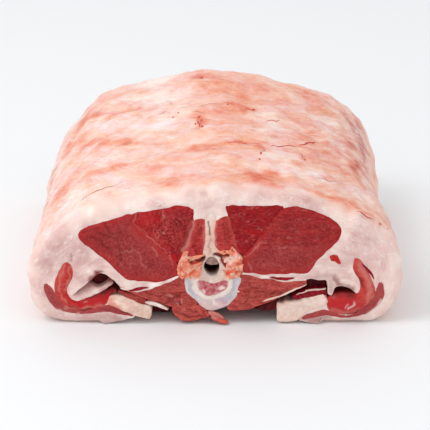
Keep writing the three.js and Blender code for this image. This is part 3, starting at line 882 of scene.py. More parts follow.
# Dark marks on the fat's cut: specks, lines and a darker layer of flesh, and painted shade in the hollows and
# along the feet.
FAT_MARKS_AND_SHADE = (
    line(1.3, 0.5, (-6.2, 77.7), (-5.8, 77.5))
    + line(0.4, 0.7, (-80.5, 41.6), (-80.3, 37.4))
    # Painted shade on the lip and the tag of the right hollow.
    + line(1.2, 0.2, (46, 29.4), (58, 28.4))
    + line(2.2, 0.4, (57.6, 29), (62, 29.6), (66, 29.2))
    + line(1.4, 0.4, (64.8, 27.4), (65.8, 19.6))
    # Painted shadow along the foot under the right strip.
    + line(3.2, 0.5, (50, 2.4), (64, 3.2))
    + line(0.8, 0.6, (80.6, 64.4), (82, 64))
    + line(0.8, 0.7, (87.2, 62.6), (89, 61.6))
    + line(0.7, 0.6, (92, 59.6), (93, 58.8))
    + line(2.2, 0.22, (65, 40.6), (68, 39.6), (70.4, 37))
    # Painted shade in the dark wedge of the right hollow.
    + line(1.8, 0.8, (67.6, 28.6), (68.8, 26), (70.6, 24))
    + line(1.4, 0.6, (70.6, 24), (74, 23), (78, 21.4))
    # Painted shade along the upper edge of the left pocket.
    + line(1.2, 0.8, (-70.6, 27), (-66.6, 31), (-63.6, 31.6))
    # Painted shadow along the left foot.
    + line(2.2, 0.4, (-66, 0.8), (-53, 2.6))
    + line(2.6, 0.4, (-67, 5), (-57, 4))
)
print("strokes on the bones:", {name: len(marks) for name, marks in BONE_PAINT.items()})
print("strokes on the fat:", len(FAT_MARKS_AND_SHADE))

# %% [markdown]
# ## The muscles, bones and strips
#
# All of these are plain bars of the frame, grown by a hair so that no dark gap is left between neighbours.
# The flat tops of the loins are trimmed instead, and the fat reaches down to them there.
# The cut of a muscle swells a little, because the meat relaxes once it is cut. Creases and cracks that are
# painted dark with shade also dip into the cut, and sawn bone crumbles.

# %% What each bar is like
# In mm: how much a bar is grown, how much the loins' flat tops are trimmed, how far the fat reaches down over
# them, and from which x to which both of these fade out.
GROW = 0.45
TRIM = 0.35
ROOF = 0.8
ROOF_END = (38, 50)
NET = 0.55
OUTLINE_STEP = 0.8
BAR_STEPS = 26
PLAIN_RIM_FADE = 3.0
CANAL_X = -1.5
CANAL_Z = 34.6
CANAL_RADIUS = 6.0
BARS = {
    # node: (slot, edge radius, swell of the cut, how far it stands proud)
    "loin_left": ("loin_meat", 0.4, 0.8, 0.0),
    "loin_right": ("loin_meat", 0.4, 0.8, 0.0),
    "loin_cap_left": ("cap_meat", 0.4, 0.6, 0.0),
    "loin_cap_right": ("cap_meat", 0.4, 0.7, 0.0),
    "chine_muscle_left": ("chine_meat", 0.4, 0.4, 0.0),
    "chine_muscle_right": ("chine_meat", 0.4, 0.4, 0.0),
    "fillet_left": ("fillet_meat", 0.4, 0.5, 0.0),
    "fillet_right": ("fillet_meat", 0.4, 0.5, 0.0),
    "skirt_tag": ("fillet_meat", 0.5, 0.4, 0.4),
    "flank_left": ("flank_meat", 0.4, 0.6, 0.1),
    "flank_right": ("flank_meat", 0.4, 2.4, 0.1),
    "deep_flank_left": ("deep_flank_meat", 0.4, 0.2, 0.0),
    "deep_flank_right": ("deep_flank_meat", 0.4, 0.2, 0.0),
    "gristle_strip_left": ("gristle", 0.7, 0.4, 0.4),
    "gristle_strip_right": ("gristle", 0.7, 0.4, 0.4),
    "cartilage_ring": ("cartilage", 0.4, 0.3, 0.0),
    "marrow_core": ("marrow", 0.4, 0.2, -0.1),
    "backbone": ("bone", 0.4, 0.2, 0.0),
}
# Coarse streaks: their strength where the knife tore a loin, and all over the muscles that are fibrous.
TORN = {"loin_cap_right": 0.9, "loin_right": 0.6, "loin_left": 0.6}
FIBROUS = {"fillet_left": 0.6, "fillet_right": 0.6, "skirt_tag": 0.55, "flank_left": 0.4, "flank_right": 0.3,
           "chine_muscle_left": 0.25, "chine_muscle_right": 0.25}
# Over how many mm the fresher edge fades, where it isn't the plain value.
RIM_FADE = {"chine_meat": 1.0, "flank_meat": 1.2}
# Where a node's thin tip is left to the crumbs, and how far a piece has settled in x and z.
TIPS = {"skirt_tag": -4.0}
SETTLED = {"gristle_strip_left": (-0.6, -2.1)}
print("bars:", len(BARS))

# %% Torn, cracked and trimmed places


def torn_share(section):
    """Where the knife tore the loins: on the right above a line from the inner foot over to the outer tip,
    and on the left towards the outer tip."""
    edge = np.interp(section[:, 0], [6, 15.7, 24.6, 40, 56, 72], [42, 41, 48, 47.5, 46, 50])
    above = smoothstep(-1.5, 3.5, section[:, 1] - edge + 2 * waves(section, 9, 33))
    return np.where(section[:, 0] > 0, above, 0.6 * smoothstep(-52, -66, section[:, 0]))


def crease_depth(section):
    """Creases dip where they are painted dark: their depth in mm."""
    return 0.7 * strokes(section, LEAN_PAINT["dark"])


def knob_share(section):
    """1 on the joint knobs at both sides of the canal, 0 on the rest of the backbone."""
    return smoothstep(5.5, 8, np.abs(section[:, 0] - CANAL_X)) * smoothstep(26.5, 30, section[:, 1])


def canal_share(section, along):
    """1 on the canal's wall, away from the cuts."""
    from_middle = np.hypot(section[:, 0] - CANAL_X, section[:, 1] - CANAL_Z)
    near_wall = smoothstep(CANAL_RADIUS + 0.6, CANAL_RADIUS, from_middle)
    return near_wall * smoothstep(0.4, 3, LENGTH / 2 - np.abs(along))


def bone_depth(section):
    """Cracks of a sawn bone, and crumbs of up to a millimetre on its joint knobs."""
    crumbs = 1.0 * waves(section, 5, 34) + 0.7 * waves(section, 2.2, 35)
    return 1.6 * strokes(section, BONE_PAINT["dark"]) + crumbs * knob_share(section)


def under_roof(outline, sign):
    """1 where an outline lies along the tops of the loins, up to the right one's slope. There its vectors
    into the material point down for a loin, with the sign -1, and up for the fat above it, with 1."""
    faces_loin = smoothstep(0.5, 0.8, sign * inward(outline)[:, 1])
    return faces_loin * (1 - smoothstep(*ROOF_END, outline[:, 0]))


# %% Dress the bars


def dress_bar(node):
    """Builds the piece that stands for a node, with the painted layers of its kind."""
    slot, radius, dome, proud = BARS[node]
    meat = slot.endswith("meat")
    drawn_by = [loop[loop[:, 0] < TIPS.get(node, np.inf)] for loop in front_loops(node)]
    outer, *holes = [evened(loop + SETTLED.get(node, (0, 0)), OUTLINE_STEP, 2) for loop in drawn_by]
    top = under_roof(outer, -1) if node.startswith("loin") else np.zeros(len(outer))
    loops = [outer + (top * (GROW + TRIM) - GROW)[:, None] * inward(outer)] + holes
    sink = crease_depth if meat else bone_depth if slot == "bone" else None
    shape = bar(loops, radius, proud, BAR_STEPS, NET, dome, sink)
    section = shape["section"]
    paint = LEAN_PAINT if meat else BONE_PAINT
    layers = {name: strokes(section, marks) for name, marks in paint.items()}
    if meat:
        fade = RIM_FADE.get(slot, PLAIN_RIM_FADE)
        layers["rim"] = np.exp(-clearance(section, np.concatenate(loops)) / fade)
        layers["torn"] = TORN.get(node, 0) * torn_share(section) + FIBROUS.get(node, 0)
    if slot == "bone":
        mottled = np.clip(0.8 + 0.3 * waves(section, 4, 36), 0, 1)
        layers["fresh"] = np.maximum(layers["fresh"], knob_share(section) * mottled)
        # The canal's wall is painted near black: shade inside the bore.
        layers["dark"] = np.maximum(layers["dark"], 0.97 * canal_share(section, shape["along"]))
    mesh_piece("dressed_" + node, shape, FINISHES[slot], node, slot, **layers)


for node in BARS:
    dress_bar(node)

# %% [markdown]
# ## The fat cover
#
# The fat is one body: skin outside, cut faces at both ends, and the walls that hold the muscles. Its outline
# starts at the right foot and runs over the back to the left one. That stretch is skin, and the rest is
# inside. The skin is a surface of two parameters: how far round the back a point lies, and how far along.

# %% The skin's surface
RIM_RADIUS = 6.0
POCKET_RADIUS = 0.12
SKIN_STEP = 1.5
SKIN_SOFTENING = 3
POCKET_STEP = 1.4
FAT_STEPS = 80
FAT_NET = 0.85
LOIN_TOPS = 50


def skin_run(loop):
    """The outline turned so that it starts at the right foot, and how many of its points are skin."""
    on_floor = loop[:, 1] < 0.02
    right = np.flatnonzero(on_floor & (loop[:, 0] > 0))
    left = np.flatnonzero(on_floor & (loop[:, 0] < 0))
    start = right[np.argmin(loop[right, 0])]
    end = left[np.argmax(loop[left, 0])]
    return np.roll(loop, -start, axis=0), (end - start) % len(loop) + 1


def evened_open(path, spacing):
    """An open line with evenly spaced points, its two ends kept."""
    run = np.concatenate([[0], np.cumsum(np.linalg.norm(np.diff(path, axis=0), axis=1))])
    at = np.linspace(0, run[-1], round(run[-1] / spacing) + 1)
    return np.stack([np.interp(at, run, path[:, axis]) for axis in (0, 1)], axis=1)


whole, skin_count = skin_run(front_loops("fat_cover")[0])
skin_line = evened_open(whole[:skin_count] / (1 - RIM_SHARE), SKIN_STEP)
for _ in range(SKIN_SOFTENING):
    skin_line[1:-1] = (skin_line[:-2] + 2 * skin_line[1:-1] + skin_line[2:]) / 4
inner_line = evened_open(np.vstack([whole[skin_count - 1:], whole[:1]]), POCKET_STEP)[1:-1]
run = np.concatenate([[0], np.cumsum(np.linalg.norm(np.diff(skin_line, axis=0), axis=1))])
ROUND = np.interp(0.0, -skin_line[:, 0], run) - run
print("skin points", len(skin_line), "inner points", len(inner_line), "from", ROUND[0], "to", ROUND[-1])

# %% Swellings of the skin
OUTWARD_RISE = 1.6
OUTWARD_BASE = 10
SWELLS = [
    # x, along, half size across, half size along, slant, height in mm
    (106, -2, 18, 46, 0.0, -2.0), (-110, 0, 18, 130, 0.0, -1.0), (-12, 98, 12, 26, 0.0, 1.2),
    (-42, 98, 20, 26, 0.0, -0.9), (-84, 70, 12, 30, 0.0, 0.7), (112, 20, 14, 34, 0.0, -1.2),
]


def patches(spread, rows, wander):
    """Paint from patches: each is strength times exp(-r ** 2.4), with r the distance from its middle as a
    share of its half sizes. A wander of 1 shifts their edges by a few mm."""
    moved = spread + wander * np.stack([waves(spread, 26, 51) * 4 + waves(spread, 8, 52) * 1.6,
                                        waves(spread, 18, 53) * 3 + waves(spread, 6, 54) * 1.2], axis=1)
    paint = np.zeros(len(spread))
    for middle, at, half_round, half_along, slant, strength in rows:
        p = (moved[:, 0] - middle) / half_round
        q = (moved[:, 1] - at - slant * (moved[:, 0] - middle)) / half_along
        paint += strength * np.exp(-(p * p + q * q) ** 1.2)
    return paint


def skin_lumps(points):
    """Swellings of the skin in mm: those of the list, broad soft lumps and small ones, and none where it
    rests on the floor."""
    lumps = 0.35 * waves(points, 36, 41) + 0.3 * waves(points, 12, 42) + 0.12 * waves(points, 4.5, 43)
    return (lumps + patches(points[:, :2], SWELLS, 0)) * smoothstep(1, 14, points[:, 2])


def skin_points(section, t):
    """Points of the skin from section points and shares t of the length: leaned, then swollen upwards and
    outwards from the middle of the joint by the lumps."""
    points = leaned(section[:, 0], section[:, 1], t)
    outward = np.stack([points[:, 0], 0 * t, points[:, 2] * OUTWARD_RISE - OUTWARD_BASE], axis=1)
    outward /= np.linalg.norm(outward, axis=1, keepdims=True)
    return points + outward * skin_lumps(points)[:, None]


def on_skin(spread):
    """Points of the skin from their distances round the back and along."""
    section = np.stack([np.interp(-spread[:, 0], -ROUND, skin_line[:, axis]) for axis in (0, 1)], axis=1)
    return skin_points(section, (spread[:, 1] - FRONT) / LENGTH)


print("swellings:", len(SWELLS))

# %% [markdown]
# The blush is painted in patches on the skin, in millimetres round the back and along. A negative patch
# leaves the fat white. The edges of the patches wander, so that no patch looks like a spot of paint.

# %% Paint of the skin
BLUSH = [
    # round the back, along, half size round, half size along, slant, strength
    (29.5, -97, 8, 4, 0.0, 0.35), (-64, 80, 18, 8, 0.0, 0.15), (-82, 66, 14, 9, -1.0, 0.4),
    (-42, 66, 16, 5, -0.2, -0.3),
    (0, 78, 30, 24, 0.0, 0.25), (12, 58, 10, 14, 0.0, 0.2), (60, 84, 16, 8, 0.0, 0.25),
    (-50, 44, 22, 7, -0.2, 0.3), (-104, 54, 10, 8, -1.0, 0.3), (-88, 32, 8, 11, -1.25, 0.35),
    (-72, 4, 8, 11, -1.25, 0.32), (-54, -13, 10, 5, -0.4, 0.6), (-75, 40, 6, 14, -1.2, -0.2),
    (-48, 16, 20, 10, -0.5, -0.25), (-30, 2, 14, 12, 0.0, -0.3), (-62, -30, 14, 8, -1.0, -0.35),
    (16, 29, 9, 9, 0.0, 0.6), (14, 48, 10, 12, 0.0, 0.15), (-9, 4, 2.5, 11, 0.0, 0.7),
    (-2, 18, 9, 4, 0.3, 0.2), (34, 5, 12, 10, 0.0, -0.35), (16, -29, 11, 3.5, 0.0, 0.7),
    (-8, -42, 32, 8, 0.1, 0.25), (37, -45, 9, 12, 0.0, -0.45), (-92, -36, 9, 8, 0.0, 0.3),
    (-66, -50, 14, 8, -0.3, 0.35), (26, -84, 13, 10, 0.0, 0.85), (72, -96, 16, 5, -0.1, 0.55),
    (92, -99, 14, 4, 0.0, 0.45),
    (60, -68, 28, 5, 0.1, -0.3), (75, 30, 6, 28, 1.0, -0.15), (88, 22, 6, 8, 0.0, 0.35),
    (88, -25, 5, 22, -0.2, 0.4), (93, -2, 2.2, 6, 0.0, 0.5), (91, -11, 2.4, 6, 0.0, 0.6),
    (88.5, -20, 2.6, 7, 0.0, 0.6), (8, 31, 4, 2.6, 0.0, 0.5), (24, 30, 3, 3, 0.0, 0.5),
    (92, 72, 7, 8, 0.0, 0.35), (0, 10, 34, 60, 0.0, 0.1),
    (-33, 58, 20, 44, 0.0, -0.28), (-44, 93, 22, 7, 0.0, -0.25), (62, -8, 13, 17, 0.0, 0.35),
    (58, -42, 34, 15, 0.0, 0.15), (-26, -18, 9, 6, 0.0, -0.35), (-80, -68, 13, 9, 0.0, -0.3),
    (-18, -88, 28, 12, 0.0, 0.2), (36, -66, 14, 5, 0.0, -0.25), (79, 70, 9, 9, 0.0, -0.25),
    (48, 70, 22, 20, 0.0, 0.18), (90, -73, 11, 9, 0.0, -0.2), (-114, 20, 9, 100, 0.0, -0.25),
    (-60, -84, 26, 12, 0.0, -0.15), (-85, -88, 30, 20, 0.0, -0.2), (-14, 40, 10, 12, 0.0, -0.2),
    (36, 64, 12, 10, 0.0, -0.2), (-14, -28, 12, 6, 0.0, -0.2), (56, -58, 10, 8, 0.0, 0.2),
]
MAUVE = [
    # bruised places, and a darker tone down the sides, in the same way
    (-27, 47, 1.6, 4, 0.0, 0.7), (91, -10, 2.4, 12, 0.0, 0.4), (100, 60, 9, 30, 0.0, 0.5),
    (104, 10, 7, 50, 0.0, 0.35), (-118, 20, 6, 60, 0.0, 0.4), (92, 70, 6, 8, 0.0, 0.35),
    (88, 22, 4, 5, 0.0, 0.35), (89, -30, 4, 18, -0.2, 0.35), (-8, 82, 3, 4, 0.0, 0.45),
    (2, 85, 3, 3, 0.0, 0.3), (56, 82, 5, 3, 0.0, 0.35), (74, -10, 40, 120, 0.0, 0.14),
    (-88, 78, 16, 14, -0.6, 0.2),
]
CLEAN = [
    # paler and greyer places of the cut: x, z, half sizes, slant, strength
    (-84, 46, 18, 14, 0.0, -0.3), (44, 76, 22, 5, -0.1, -0.35), (-20, 78, 34, 4, 0.0, 0.05),
    (84, 46, 14, 18, 0.0, -0.25), (-60, 68, 14, 5, 0.4, 0.1), (76, 66, 12, 6, -0.4, 0.2),
    (-80, 3, 20, 4, 0.0, -0.3), (-84, 28, 24, 14, 0.0, -0.2),
]


def streak_slant(spread):
    """The streaks of both flanks run up towards the rear: their lag along, in mm."""
    left = 0.3 * np.clip(-25 - spread[:, 0], 0, 25) + 1.2 * np.clip(-50 - spread[:, 0], 0, 70)
    return left + 0.8 * np.clip(spread[:, 0] - 55, 0, 60)


print("patches:", len(BLUSH), "of blush,", len(MAUVE), "of mauve,", len(CLEAN), "on the cut")

# %% [markdown]
# The streaks of the skin lie across the back, and those of the cut follow the skin. So every point of the fat
# gets its distance round the back, from the nearest point of the skin's line, and its distance along. On the
# cut the depth below the skin takes the place of the distance along.

# %% Fat cover
DARK_REACH = 3
fat_loop = np.vstack([skin_line, inner_line])
is_skin = np.arange(len(fat_loop)) < len(skin_line)
over_loins = np.where(is_skin | (fat_loop[:, 1] < LOIN_TOPS), 0, under_roof(fat_loop, 1))
fat_loop = fat_loop - ROOF * over_loins[:, None] * inward(fat_loop)
rim = np.where(is_skin, RIM_RADIUS, POCKET_RADIUS)
fat_shape = bar([fat_loop], rim, 0.0, FAT_STEPS, FAT_NET)
count, rings = fat_shape["grid"]
wall = np.zeros(len(fat_shape["points"]), bool)
wall[:count * rings] = np.repeat(is_skin, rings)
along = fat_shape["along"]
section = fat_shape["section"]
fat_shape["points"][wall] = skin_points(section[wall], (along[wall] - FRONT) / LENGTH)
nearest = np.concatenate([
    ((section[part][:, None] - skin_line[None]) ** 2).sum(axis=2).argmin(axis=1)
    for part in chunks(len(section))
])
course = np.gradient(skin_line, axis=0)
course /= np.linalg.norm(course, axis=1, keepdims=True)
off_line = section - skin_line[nearest]
slip = np.clip((off_line * course[nearest]).sum(axis=1), -0.8, 0.8)
spread = np.stack([ROUND[nearest] - slip, along], axis=1)
depth = np.linalg.norm(off_line, axis=1)
from_cut = LENGTH / 2 - np.abs(along)
lay_along = np.sign(along) * (LENGTH / 2 + depth - RIM_RADIUS)
lay_along[wall] = along[wall] - streak_slant(spread[wall]) * smoothstep(2, 40, from_cut[wall])
lay = np.stack([spread[:, 0], lay_along, 0 * depth], axis=1)
on_cut = np.where(wall, smoothstep(RIM_RADIUS + 2, 0, from_cut + 1.5 * waves(spread, 16, 55)), 1.0)
bare_rim = smoothstep(12, 3, from_cut + 4 * waves(spread, 22, 58))
fat_layers = {
    "lay": lay,
    "cut": on_cut,
    "blush": 0.54 + 0.1 * waves(spread, 30, 56) + patches(spread, BLUSH, 0.9) - 0.15 * bare_rim,
    "mauve": np.clip(patches(spread, MAUVE, 0.6), 0, 1),
    "clean": 0.58 + 0.12 * waves(section, 14, 57) + patches(section, CLEAN, 0.5),
    "dark": strokes(section, FAT_MARKS_AND_SHADE) * np.exp(-from_cut / DARK_REACH),
}
mesh_piece("dressed_fat_cover", fat_shape, FINISHES["fat"], "fat_cover", "fat", **fat_layers)

# %% [markdown]
# ## Folds and thin layers
#
# Thin sheets and tongues lie in the hollows of the flaps and between the muscles. They are bars like the
# muscles, drawn by a few points of the section, or as a ribbon along a line of them. Some end a few
# millimetres behind the front cut, and the others run through to the rear.

# %% Draw a fold
FOLD_STEPS = 22
FOLD_NET = 0.6


def drawn(points, soften):
    """A closed outline through a few points, rounded by averaging, with its inside on the left."""
    loop = np.array(points, float)
    after = np.roll(loop, -1, axis=0)
    turn = (loop[:, 0] * after[:, 1] - after[:, 0] * loop[:, 1]).sum()
    return evened(loop if turn > 0 else loop[::-1], OUTLINE_STEP, soften)


def ribbon(centre, half):
    """The closed outline of a band of given half thicknesses along a line of section points."""
    path = np.array(centre, float)
    run = np.gradient(path, axis=0)
    run /= np.linalg.norm(run, axis=1, keepdims=True)
    offset = np.stack([-run[:, 1], run[:, 0]], axis=1) * np.broadcast_to(half, len(path))[:, None]
    return np.vstack([path + offset, (path - offset)[::-1]])


def fold(name, outline, slot, finish, radius, proud, soften=1, sink=None, shade=None, reach=None, **paint):
    """A bar drawn by a few points, with the layers that the fat and the lean finishes read. A given shade
    paints shade into its dark layer. Further layers have one value all over, or come from strokes."""
    shape = bar([drawn(outline, soften)], radius, proud, FOLD_STEPS, FOLD_NET, 0.0, sink, reach)
    section = shape["section"]
    lay = np.stack([section @ [0.8, 0.6], section @ [-0.6, 0.8], 0 * section[:, 0]], axis=1)
    dark = shade(section) if shade else 0 * section[:, 0]
    clean = 0.54 + 0.2 * waves(section, 8, 59) - 0.4 * dark
    layers = {"lay": lay, "cut": np.ones(len(section)), "clean": clean, "dark": dark}
    for layer, value in paint.items():
        layers[layer] = strokes(section, value) if isinstance(value, list) else np.full(len(section), value)
    mesh_piece(name, shape, FINISHES[finish], None, slot, **layers)


# %% [markdown]
# The flaps leave hollows. A shelf of fat slopes back into the left one, painted with shade that deepens away
# from its rim, a maroon sheet lies on top of the right strip, and meat darkened near black with painted shade
# lines the hollows and the gaps under the fillets. The left fillet has a frayed lower edge, with a strip of
# membrane.

# %% Shelf, sheet and linings
SHELF_RIM = evened_open(
    np.array([(-80, 15.6), (-77.1, 14.2), (-70.3, 16.3), (-64.6, 19.7), (-58.4, 22.4)]), 0.5)


def shelf_depth(section):
    """The shelf in the left hollow slopes back from its rim: its depth in mm."""
    return 3 * smoothstep(0.5, 7, clearance(section, SHELF_RIM))


def shelf_shade(section):
    """Painted shade of the shelf: darker the further it lies from its rim, and on the arm at its right end.
    """
    arm = 0.45 * smoothstep(-65, -59, section[:, 0])
    return 0.12 + arm + 0.6 * smoothstep(1, 6.5, clearance(section, SHELF_RIM))


fold("fat_tongue", [(-80, 15.6), (-79.4, 17.5), (-75, 21), (-70.8, 24.8), (-69.2, 24.2), (-68, 22.6),
                    (-65.8, 21.6), (-63, 22.6), (-60.6, 24.4), (-58, 26.2), (-57.4, 25), (-59.8, 22.8),
                    (-62, 20.8), (-64.8, 19.2), (-70.3, 15.9), (-77.1, 13.9)],
     "fat", "fat", 0.5, 0.5, 1, shelf_depth, shelf_shade)
# Linings of meat darkened near black: painted shade in the hollows and the gaps.
fold("hollow_left", [(-79, 17.4), (-74.6, 22), (-70, 26.6), (-67.2, 29.9), (-64.4, 31.2), (-61, 30.2),
                     (-58.2, 28.2), (-55, 26), (-55.6, 22), (-62, 18.6), (-70, 16)],
     "deep_flank_meat", "shaded_hollow_meat", 0.4, -7)
fold("maroon_sheet", [(43.5, 16.4), (50, 19.8), (56, 20.6), (62.6, 21.8), (63.8, 18.6), (62, 17.4),
                      (55, 15.8), (46.5, 14)], "deep_flank_meat", "sheet_meat", 0.6, 0.0, 2)
fold("hollow_right", [(46, 18), (52, 26), (58, 27.4), (64, 28.2), (64, 20), (55, 18)],
     "deep_flank_meat", "shaded_hollow_meat", 0.4, -6)
fold("hollow_far_right", [(66.8, 17), (67.4, 24), (72, 23.8), (77, 22.2), (81.4, 19), (74, 16)],
     "deep_flank_meat", "shaded_hollow_meat", 0.4, -7)
fold("shaded_lining_left", [(-45, 3), (-27, 1.2), (-22, 6), (-30, 12), (-40, 16)],
     "fillet_meat", "shaded_hollow_meat", 0.6, -14)
fold("shaded_lining_right", [(22, 8.6), (30, 11.5), (37, 15.5), (36, 8), (28, 6.8)],
     "fillet_meat", "shaded_hollow_meat", 0.6, -3)
fold("fillet_edge_left", ribbon([(-54.6, 19.8), (-48, 17), (-42, 14.4), (-36, 12)], [0.4, 1.6, 1.7, 0.5]),
     "fillet_meat", "fillet_meat", 0.4, -0.2, torn=0.6, dark=0.15)
fold("membrane_left", ribbon([(-39.6, 13.4), (-36, 12.6), (-31, 11.2), (-26, 8.4)], [0.4, 1.1, 1.1, 0.5]),
     "fat", "fat", 0.4, 0.3, reach=8)

# %% [markdown]
# Beside the canal the saw broke the joint knobs of the backbone. They are rough and peach, with red cracks
# that are painted dark along their middle as shade in the gaps.

# %% Joint knobs and their cracks
KNOB_RED = (
    line(1.5, 0.95, (7.6, 31.8), (12.8, 32))
    + line(1.4, 0.8, (-14.6, 31.2), (-9, 34.8))
    + line(1.0, 0.5, (-18.8, 34.6), (-15.6, 29.6))
    + line(0.9, 0.6, (12.6, 36), (14.4, 38))
    + line(1.3, 0.45, (9.4, 35.4), (12.4, 34.6))
)
KNOB_PALE = line(1.2, 0.6, (8.4, 38), (12.6, 41.4)) + line(0.9, 0.5, (-18, 38.4), (-15.4, 41.4))


def knob_depth(section):
    """The torn joint knobs are rough: their depth in mm."""
    return 0.7 * waves(section, 4, 34) + 0.3 * waves(section, 1.8, 35) + 1.2 * strokes(section, KNOB_RED)


knob = {"radius": 0.7, "proud": 0.9, "sink": knob_depth, "reach": 4, "fresh": KNOB_RED, "pale": KNOB_PALE}
fold("knob_left", [(-12.6, 35.8), (-14.6, 37.4), (-15.2, 41), (-14.6, 45), (-16.8, 44.6), (-18.6, 40.6),
                   (-20.4, 37), (-20.2, 34), (-21, 30.4), (-18.8, 27.8), (-15, 28.8), (-11.4, 29.4),
                   (-8.8, 31), (-7.4, 34.4), (-6.8, 38.4), (-9.6, 37.2)], "bone", "knob", **knob)
fold("knob_left_lip", ribbon([(-17, 40.4), (-13.4, 39.8), (-9.4, 41.6), (-5.4, 42.4)], [0.6, 1.1, 0.9, 0.3]),
     "bone", "knob", **knob)
fold("knob_right", [(6.6, 37.4), (6.2, 34), (6.8, 30), (9.4, 27.6), (12, 29.4), (12.8, 32.4), (13.2, 35),
                    (14.8, 38), (14.4, 41), (12.6, 44), (11, 47.6), (9, 45.4), (8.6, 42.8), (9.2, 40.8),
                    (8, 39.6)], "bone", "knob", **knob)
fold("knob_right_lip", ribbon([(2, 43), (5, 43.8), (9.4, 44.4)], [0.3, 1.0, 1.0]), "bone", "knob", **knob)
# The cracks are painted dark along their middle: shade in the gaps.
fold("crack_left", ribbon([(-13.4, 36.2), (-11.2, 37.6), (-8.6, 39.2), (-5.6, 40.8)], [0.2, 1.2, 1.1, 0.3]),
     "cap_meat", "blood", 0.1, 0.3, reach=3,
     dark=line(1.3, 0.95, (-10.4, 38.6), (-5.6, 41)) + line(1.0, 0.5, (-13.4, 36.2), (-10.4, 38)))
fold("crack_right", ribbon([(0, 41.6), (4, 41.8), (8.8, 41.8)], [0.15, 0.7, 0.5]),
     "cap_meat", "blood", 0.1, 0.3, reach=3, dark=line(0.8, 0.9, (0, 41.8), (8.8, 41.9)))
fold("crack_inner", ribbon([(3.6, 41), (5, 38.4), (6.6, 35)], [0.2, 0.9, 0.3]),
     "cap_meat", "blood", 0.1, 0.3, reach=3, dark=line(0.9, 0.85, (3.6, 41), (6.6, 35)))

# %% [markdown]
# The rest are thin layers on the cut: a membrane and a pale strand on the right, white fascia above the
# fillets with slivers of meat in it, one more sliver beside the right flank, the end of the seam above the
# right eye, a nick in the fat, and the grey sheath in the top of the canal.

# %% Membranes, fascia and slivers
fold("membrane_right",
     ribbon([(52, 24.2), (45, 21), (38, 18), (32, 15.4), (27, 13.4)], [0.2, 0.6, 0.6, 0.6, 0.2]),
     "gristle", "gristle", 0.2, 0.3, reach=3)
fold("hollow_strand", ribbon([(46, 17.6), (52.5, 20.2), (57.2, 20.8), (63.2, 22)], [0.15, 0.3, 0.25, 0.2]),
     "gristle", "gristle", 0.15, 0.3, reach=2)
fold("seam_right", [(33, 71), (38.6, 71.5), (44, 70.2), (40, 66), (36, 66)],
     "cap_meat", "cap_meat", 0.3, -0.1)
fold("nick", [(64, 41.4), (66.4, 42.2), (68.8, 41.6), (70, 39), (71.4, 36), (69, 36.4), (67.4, 38),
              (65.2, 37.8), (64.8, 39.8)],
     "flank_meat", "flank_meat", 0.2, 0.1, 2, fresh=line(1.2, 0.7, (66, 39.8), (69.6, 38.4)))
fold("canal_sheath", [(-5.4, 35.4), (-5, 38.4), (-3.4, 40), (-1.4, 40.6), (0.8, 40), (2.4, 38.4), (2.6, 35.4),
                      (-1.3, 34.4)], "cartilage", "sheath", 0.4, -1.6, 2)
fold("fascia_left", ribbon([(-53, 22.4), (-48, 21.8), (-44, 21.4), (-38, 22), (-33, 23.8), (-28, 25.4),
                            (-24, 27.2), (-20, 29.2)], [0.5, 1.4, 2.0, 2.0, 1.2, 0.9, 0.8, 0.5]),
     "fat", "fat", 0.3, 0.5)
fold("sliver_left", ribbon([(-48.4, 20.9), (-45, 21.2), (-41.6, 21.4), (-37, 22)], [0.2, 0.9, 0.8, 0.2]),
     "cap_meat", "sheet_meat", 0.1, 0.9)
fold("fascia_right",
     ribbon([(15, 30.8), (27, 28.7), (36, 27.5), (45, 27.4), (52, 27.4)], [0.4, 1.1, 1.6, 1.3, 0.5]),
     "fat", "fat", 0.3, 0.5)
fold("sliver_right", ribbon([(31, 28), (35, 27.9), (40, 27.9), (45, 28.1)], [0.2, 0.8, 0.8, 0.2]),
     "cap_meat", "sheet_meat", 0.1, 0.9)
fold("sliver_far_right", ribbon([(83.2, 37), (86.4, 33), (88.4, 30), (89.8, 27)], [0.2, 0.7, 0.6, 0.2]),
     "deep_flank_meat", "sheet_meat", 0.1, 0.3)

# %% [markdown]
# ## Small marks
#
# Veins, dots of blood and crumbs of meat are tubes and lumps that sit half sunk in the surface. A tube
# carries a circle along a path, thinner towards its ends. A lump is a ball, flattened and made uneven.

# %% Tubes and lumps
TUBE_SIDES = 7
# A direction that no path runs along, from which a tube's circles are turned.
TUBE_UP = [0.1, 0.35, 0.93]
LUMP_ROWS = 9
LUMP_COLUMNS = 16
LUMP_RELIEF = 0.3
# The latitude of a lump's first and last rows, in radians.
LUMP_END = 1.45


def tube(path, radius):
    """A closed thread: point k, j is path k plus a circle in the plane across the path. Its radius is the
    given one times (0.25 + 0.75 sin(pi s)), with s from 0 to 1 along the path."""
    run = np.gradient(path, axis=0)
    run /= np.linalg.norm(run, axis=1, keepdims=True)
    side = np.cross(run, TUBE_UP)
    side /= np.linalg.norm(side, axis=1, keepdims=True)
    other = np.cross(side, run)
    angle = np.linspace(0, 2 * np.pi, TUBE_SIDES, endpoint=False)[None, :, None]
    size = radius * (0.25 + 0.75 * np.sin(np.pi * np.linspace(0, 1, len(path))))[:, None, None]
    points = path[:, None] + size * (np.cos(angle) * side[:, None] + np.sin(angle) * other[:, None])
    return points, False


